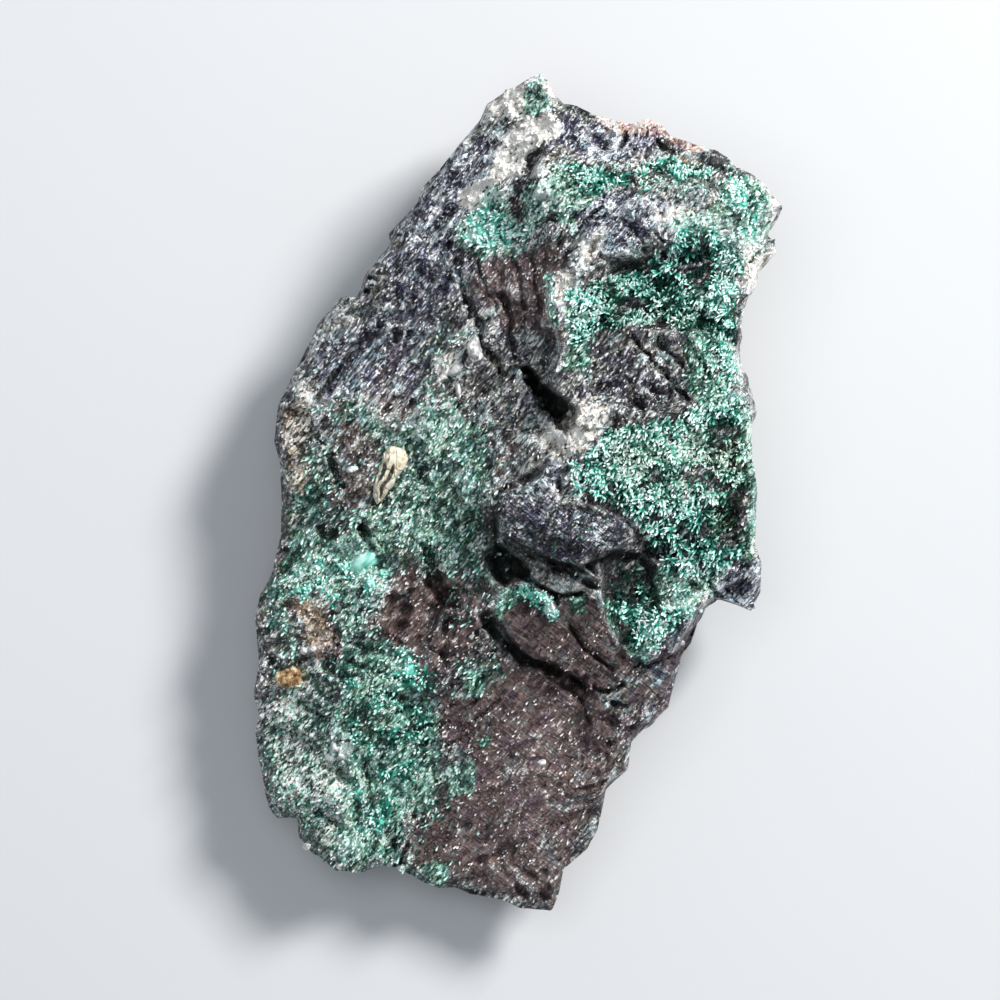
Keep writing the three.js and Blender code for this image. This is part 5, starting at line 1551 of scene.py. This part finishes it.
# The hollow and its creases are painted dark brown, as painted shade, and the crests of the crinkles stay
# cream.
store(pod, "hollow", np.maximum(hollow * (0.95 - crinkles), 0.6 * creases))
cream = Finish("cream_pod_skin")
cream_skin = cream.ramp(cream.mottle(0.6, 5), [
    (0.30, (0.36, 0.28, 0.17)), (0.46, (0.74, 0.66, 0.49)), (0.62, (0.93, 0.90, 0.79)),
])
# The skin is cream, mixed to dark brown by the painted shade of the hollow.
cream.set(
    Base_Color=cream.mix(cream.share("hollow").clamp(), cream_skin, (0.045, 0.040, 0.030, 1)),
    Roughness=0.45,
    Normal=cream.bump(cream.mottle(0.4, 4) * (0.15 * MM)),
)
finish_piece(pod, cream, "pale_pod")

QUARTZ_EDGE = [
    (-5, 15.4), (-4.3, 16.3), (-3.8, 16.1), (-3.6, 15.1), (-3.3, 14.2), (-3.6, 13.6),
    (-4.5, 13.4), (-4.9, 14.2),
]
quartz = bed_grain("white_quartz_grain", QUARTZ_EDGE, 1.0, 4, 0.3, 521)
white = Finish("white_quartz")
white.set(
    Base_Color=white.ramp(white.mottle(0.7, 4), [
        (0.32, (0.36, 0.35, 0.36)), (0.48, (0.70, 0.70, 0.70)), (0.62, (0.96, 0.96, 0.95)),
    ]),
    Roughness=0.22,
    Normal=white.bump(white.facets(0.5, 0.5)),
)
finish_piece(quartz, white, "quartz_grain")

# Each pebble: its middle, half sizes and turn.
PEBBLES = [
    ((-16.9, 2.7), (0.8, 0.45), 0.1),
    ((-6.3, 12.9), (1.1, 0.75), 0.4),
    ((-5.9, 10.8), (0.4, 0.9), 0.1),
    ((-7.6, -7.3), (0.5, 0.5), 0),
    ((-3.9, 5.0), (0.3, 0.3), 0),
    ((2.7, -27.5), (0.65, 0.45), 0.2),
    ((21.2, 26.6), (0.8, 0.5), 0.3),
    ((22.4, 27.5), (0.45, 0.35), 0),
    ((20.6, 27.5), (0.4, 0.3), 0),
    ((17, -15.1), (0.35, 0.3), 0),
    ((-21.9, -16.0), (0.55, 0.5), 0),
    ((-21.0, -15.8), (0.5, 0.4), 0.5),
    ((-17.4, -7.9), (0.5, 0.25), -0.3),
    ((-4.7, -14.4), (0.6, 0.4), 0.1),
    ((-18.7, -26.0), (0.7, 0.6), 0.6),
    ((-18.1, -26.9), (0.5, 0.4), 0),
    ((-21.7, -36.3), (0.5, 0.45), 0.4),
    ((-18.1, -38.3), (0.6, 0.35), 0.1),
]
rng = np.random.default_rng(531)
pebbles = [
    bed_grain("pale_pebbles", pebble_edge(centre, half, turn, rng), 0.8 * half[1], 3, 0.4, 540)
    for centre, half, turn in PEBBLES
]
join(pebbles[0], pebbles[1:])
finish_piece(pebbles[0], white)

BLOB_EDGE = [
    (-17.3, -7.4), (-16.8, -6.5), (-16, -5.6), (-15.1, -5.3), (-14.3, -5.6), (-13.9, -6.3),
    (-14.1, -7), (-15, -7.6), (-16.3, -8), (-17.1, -7.8),
]
blob = bed_grain("mint_blob", BLOB_EDGE, 0.9, 4, 0, 0)
blob_x, blob_y, _ = read_points(blob).T / MM
strands = hills((blob_x + blob_y) / 1.6, (blob_x - blob_y) / 0.3, 551)
store(blob, "tone", 0.56 + 0.16 * strands + 0.08 * hills(blob_x / 0.6, blob_y / 0.6, 552))
store(blob, "tip", np.ones(len(blob_x)))
store(blob, "olive", np.full(len(blob_x), 0.1))
finish_piece(blob, crystal)

KNOB_EDGE = pebble_edge((20.3, 34.1), (0.85, 0.85), 0, rng)
knob = bed_grain("dark_knob", KNOB_EDGE, 0.8, 3, 0.15, 561)
store_minerals(knob, -2.0)
finish_piece(knob, stone)


# ---- The limonite nodule ---------------------------------------------------------------
# A knobbly bunch of small balls of limonite, which is rust, stuck to the left rim.
BALLS = 26
NODULE = (-23.4, -18.8)
NODULE_HALF = (1.15, 0.85)
rng = np.random.default_rng(571)
select_none()
balls = []
for number in range(BALLS):
    turn, far = rng.uniform(0, 2 * math.pi), rng.uniform(0, 1) ** 0.6
    # the first and largest ball is the heart of the bunch
    size = rng.uniform(0.3, 0.46) if number else 1.0
    far, rise = (far, 0.45 * (1 - far) + 0.1) if number else (0, -0.6)
    x = NODULE[0] + NODULE_HALF[0] * far * math.cos(turn)
    y = NODULE[1] + NODULE_HALF[1] * far * math.sin(turn)
    level = float(ground(np.array([x]), np.array([y]))[0])
    bpy.ops.mesh.primitive_ico_sphere_add(
        subdivisions=3, radius=size * MM, location=(x * MM, y * MM, (level + rise) * MM),
    )
    balls.append(bpy.context.object)
join(balls[0], balls[1:])
bpy.ops.object.transform_apply(location=True, rotation=True, scale=True)
bpy.ops.object.shade_smooth()
nodule = bpy.context.object
nodule.name = "limonite_balls"
rusty = Finish("rusty_limonite")
rusty.set(
    Base_Color=rusty.ramp(rusty.mottle(0.9, 5), [
        (0.34, (0.06, 0.030, 0.010)), (0.45, (0.30, 0.165, 0.065)),
        (0.55, (0.52, 0.36, 0.18)), (0.66, (0.86, 0.76, 0.58)),
    ]),
    Roughness=0.7,
    Normal=rusty.bump(rusty.mottle(0.3, 4) * (0.2 * MM)),
)
finish_piece(nodule, rusty, "limonite_nodule")
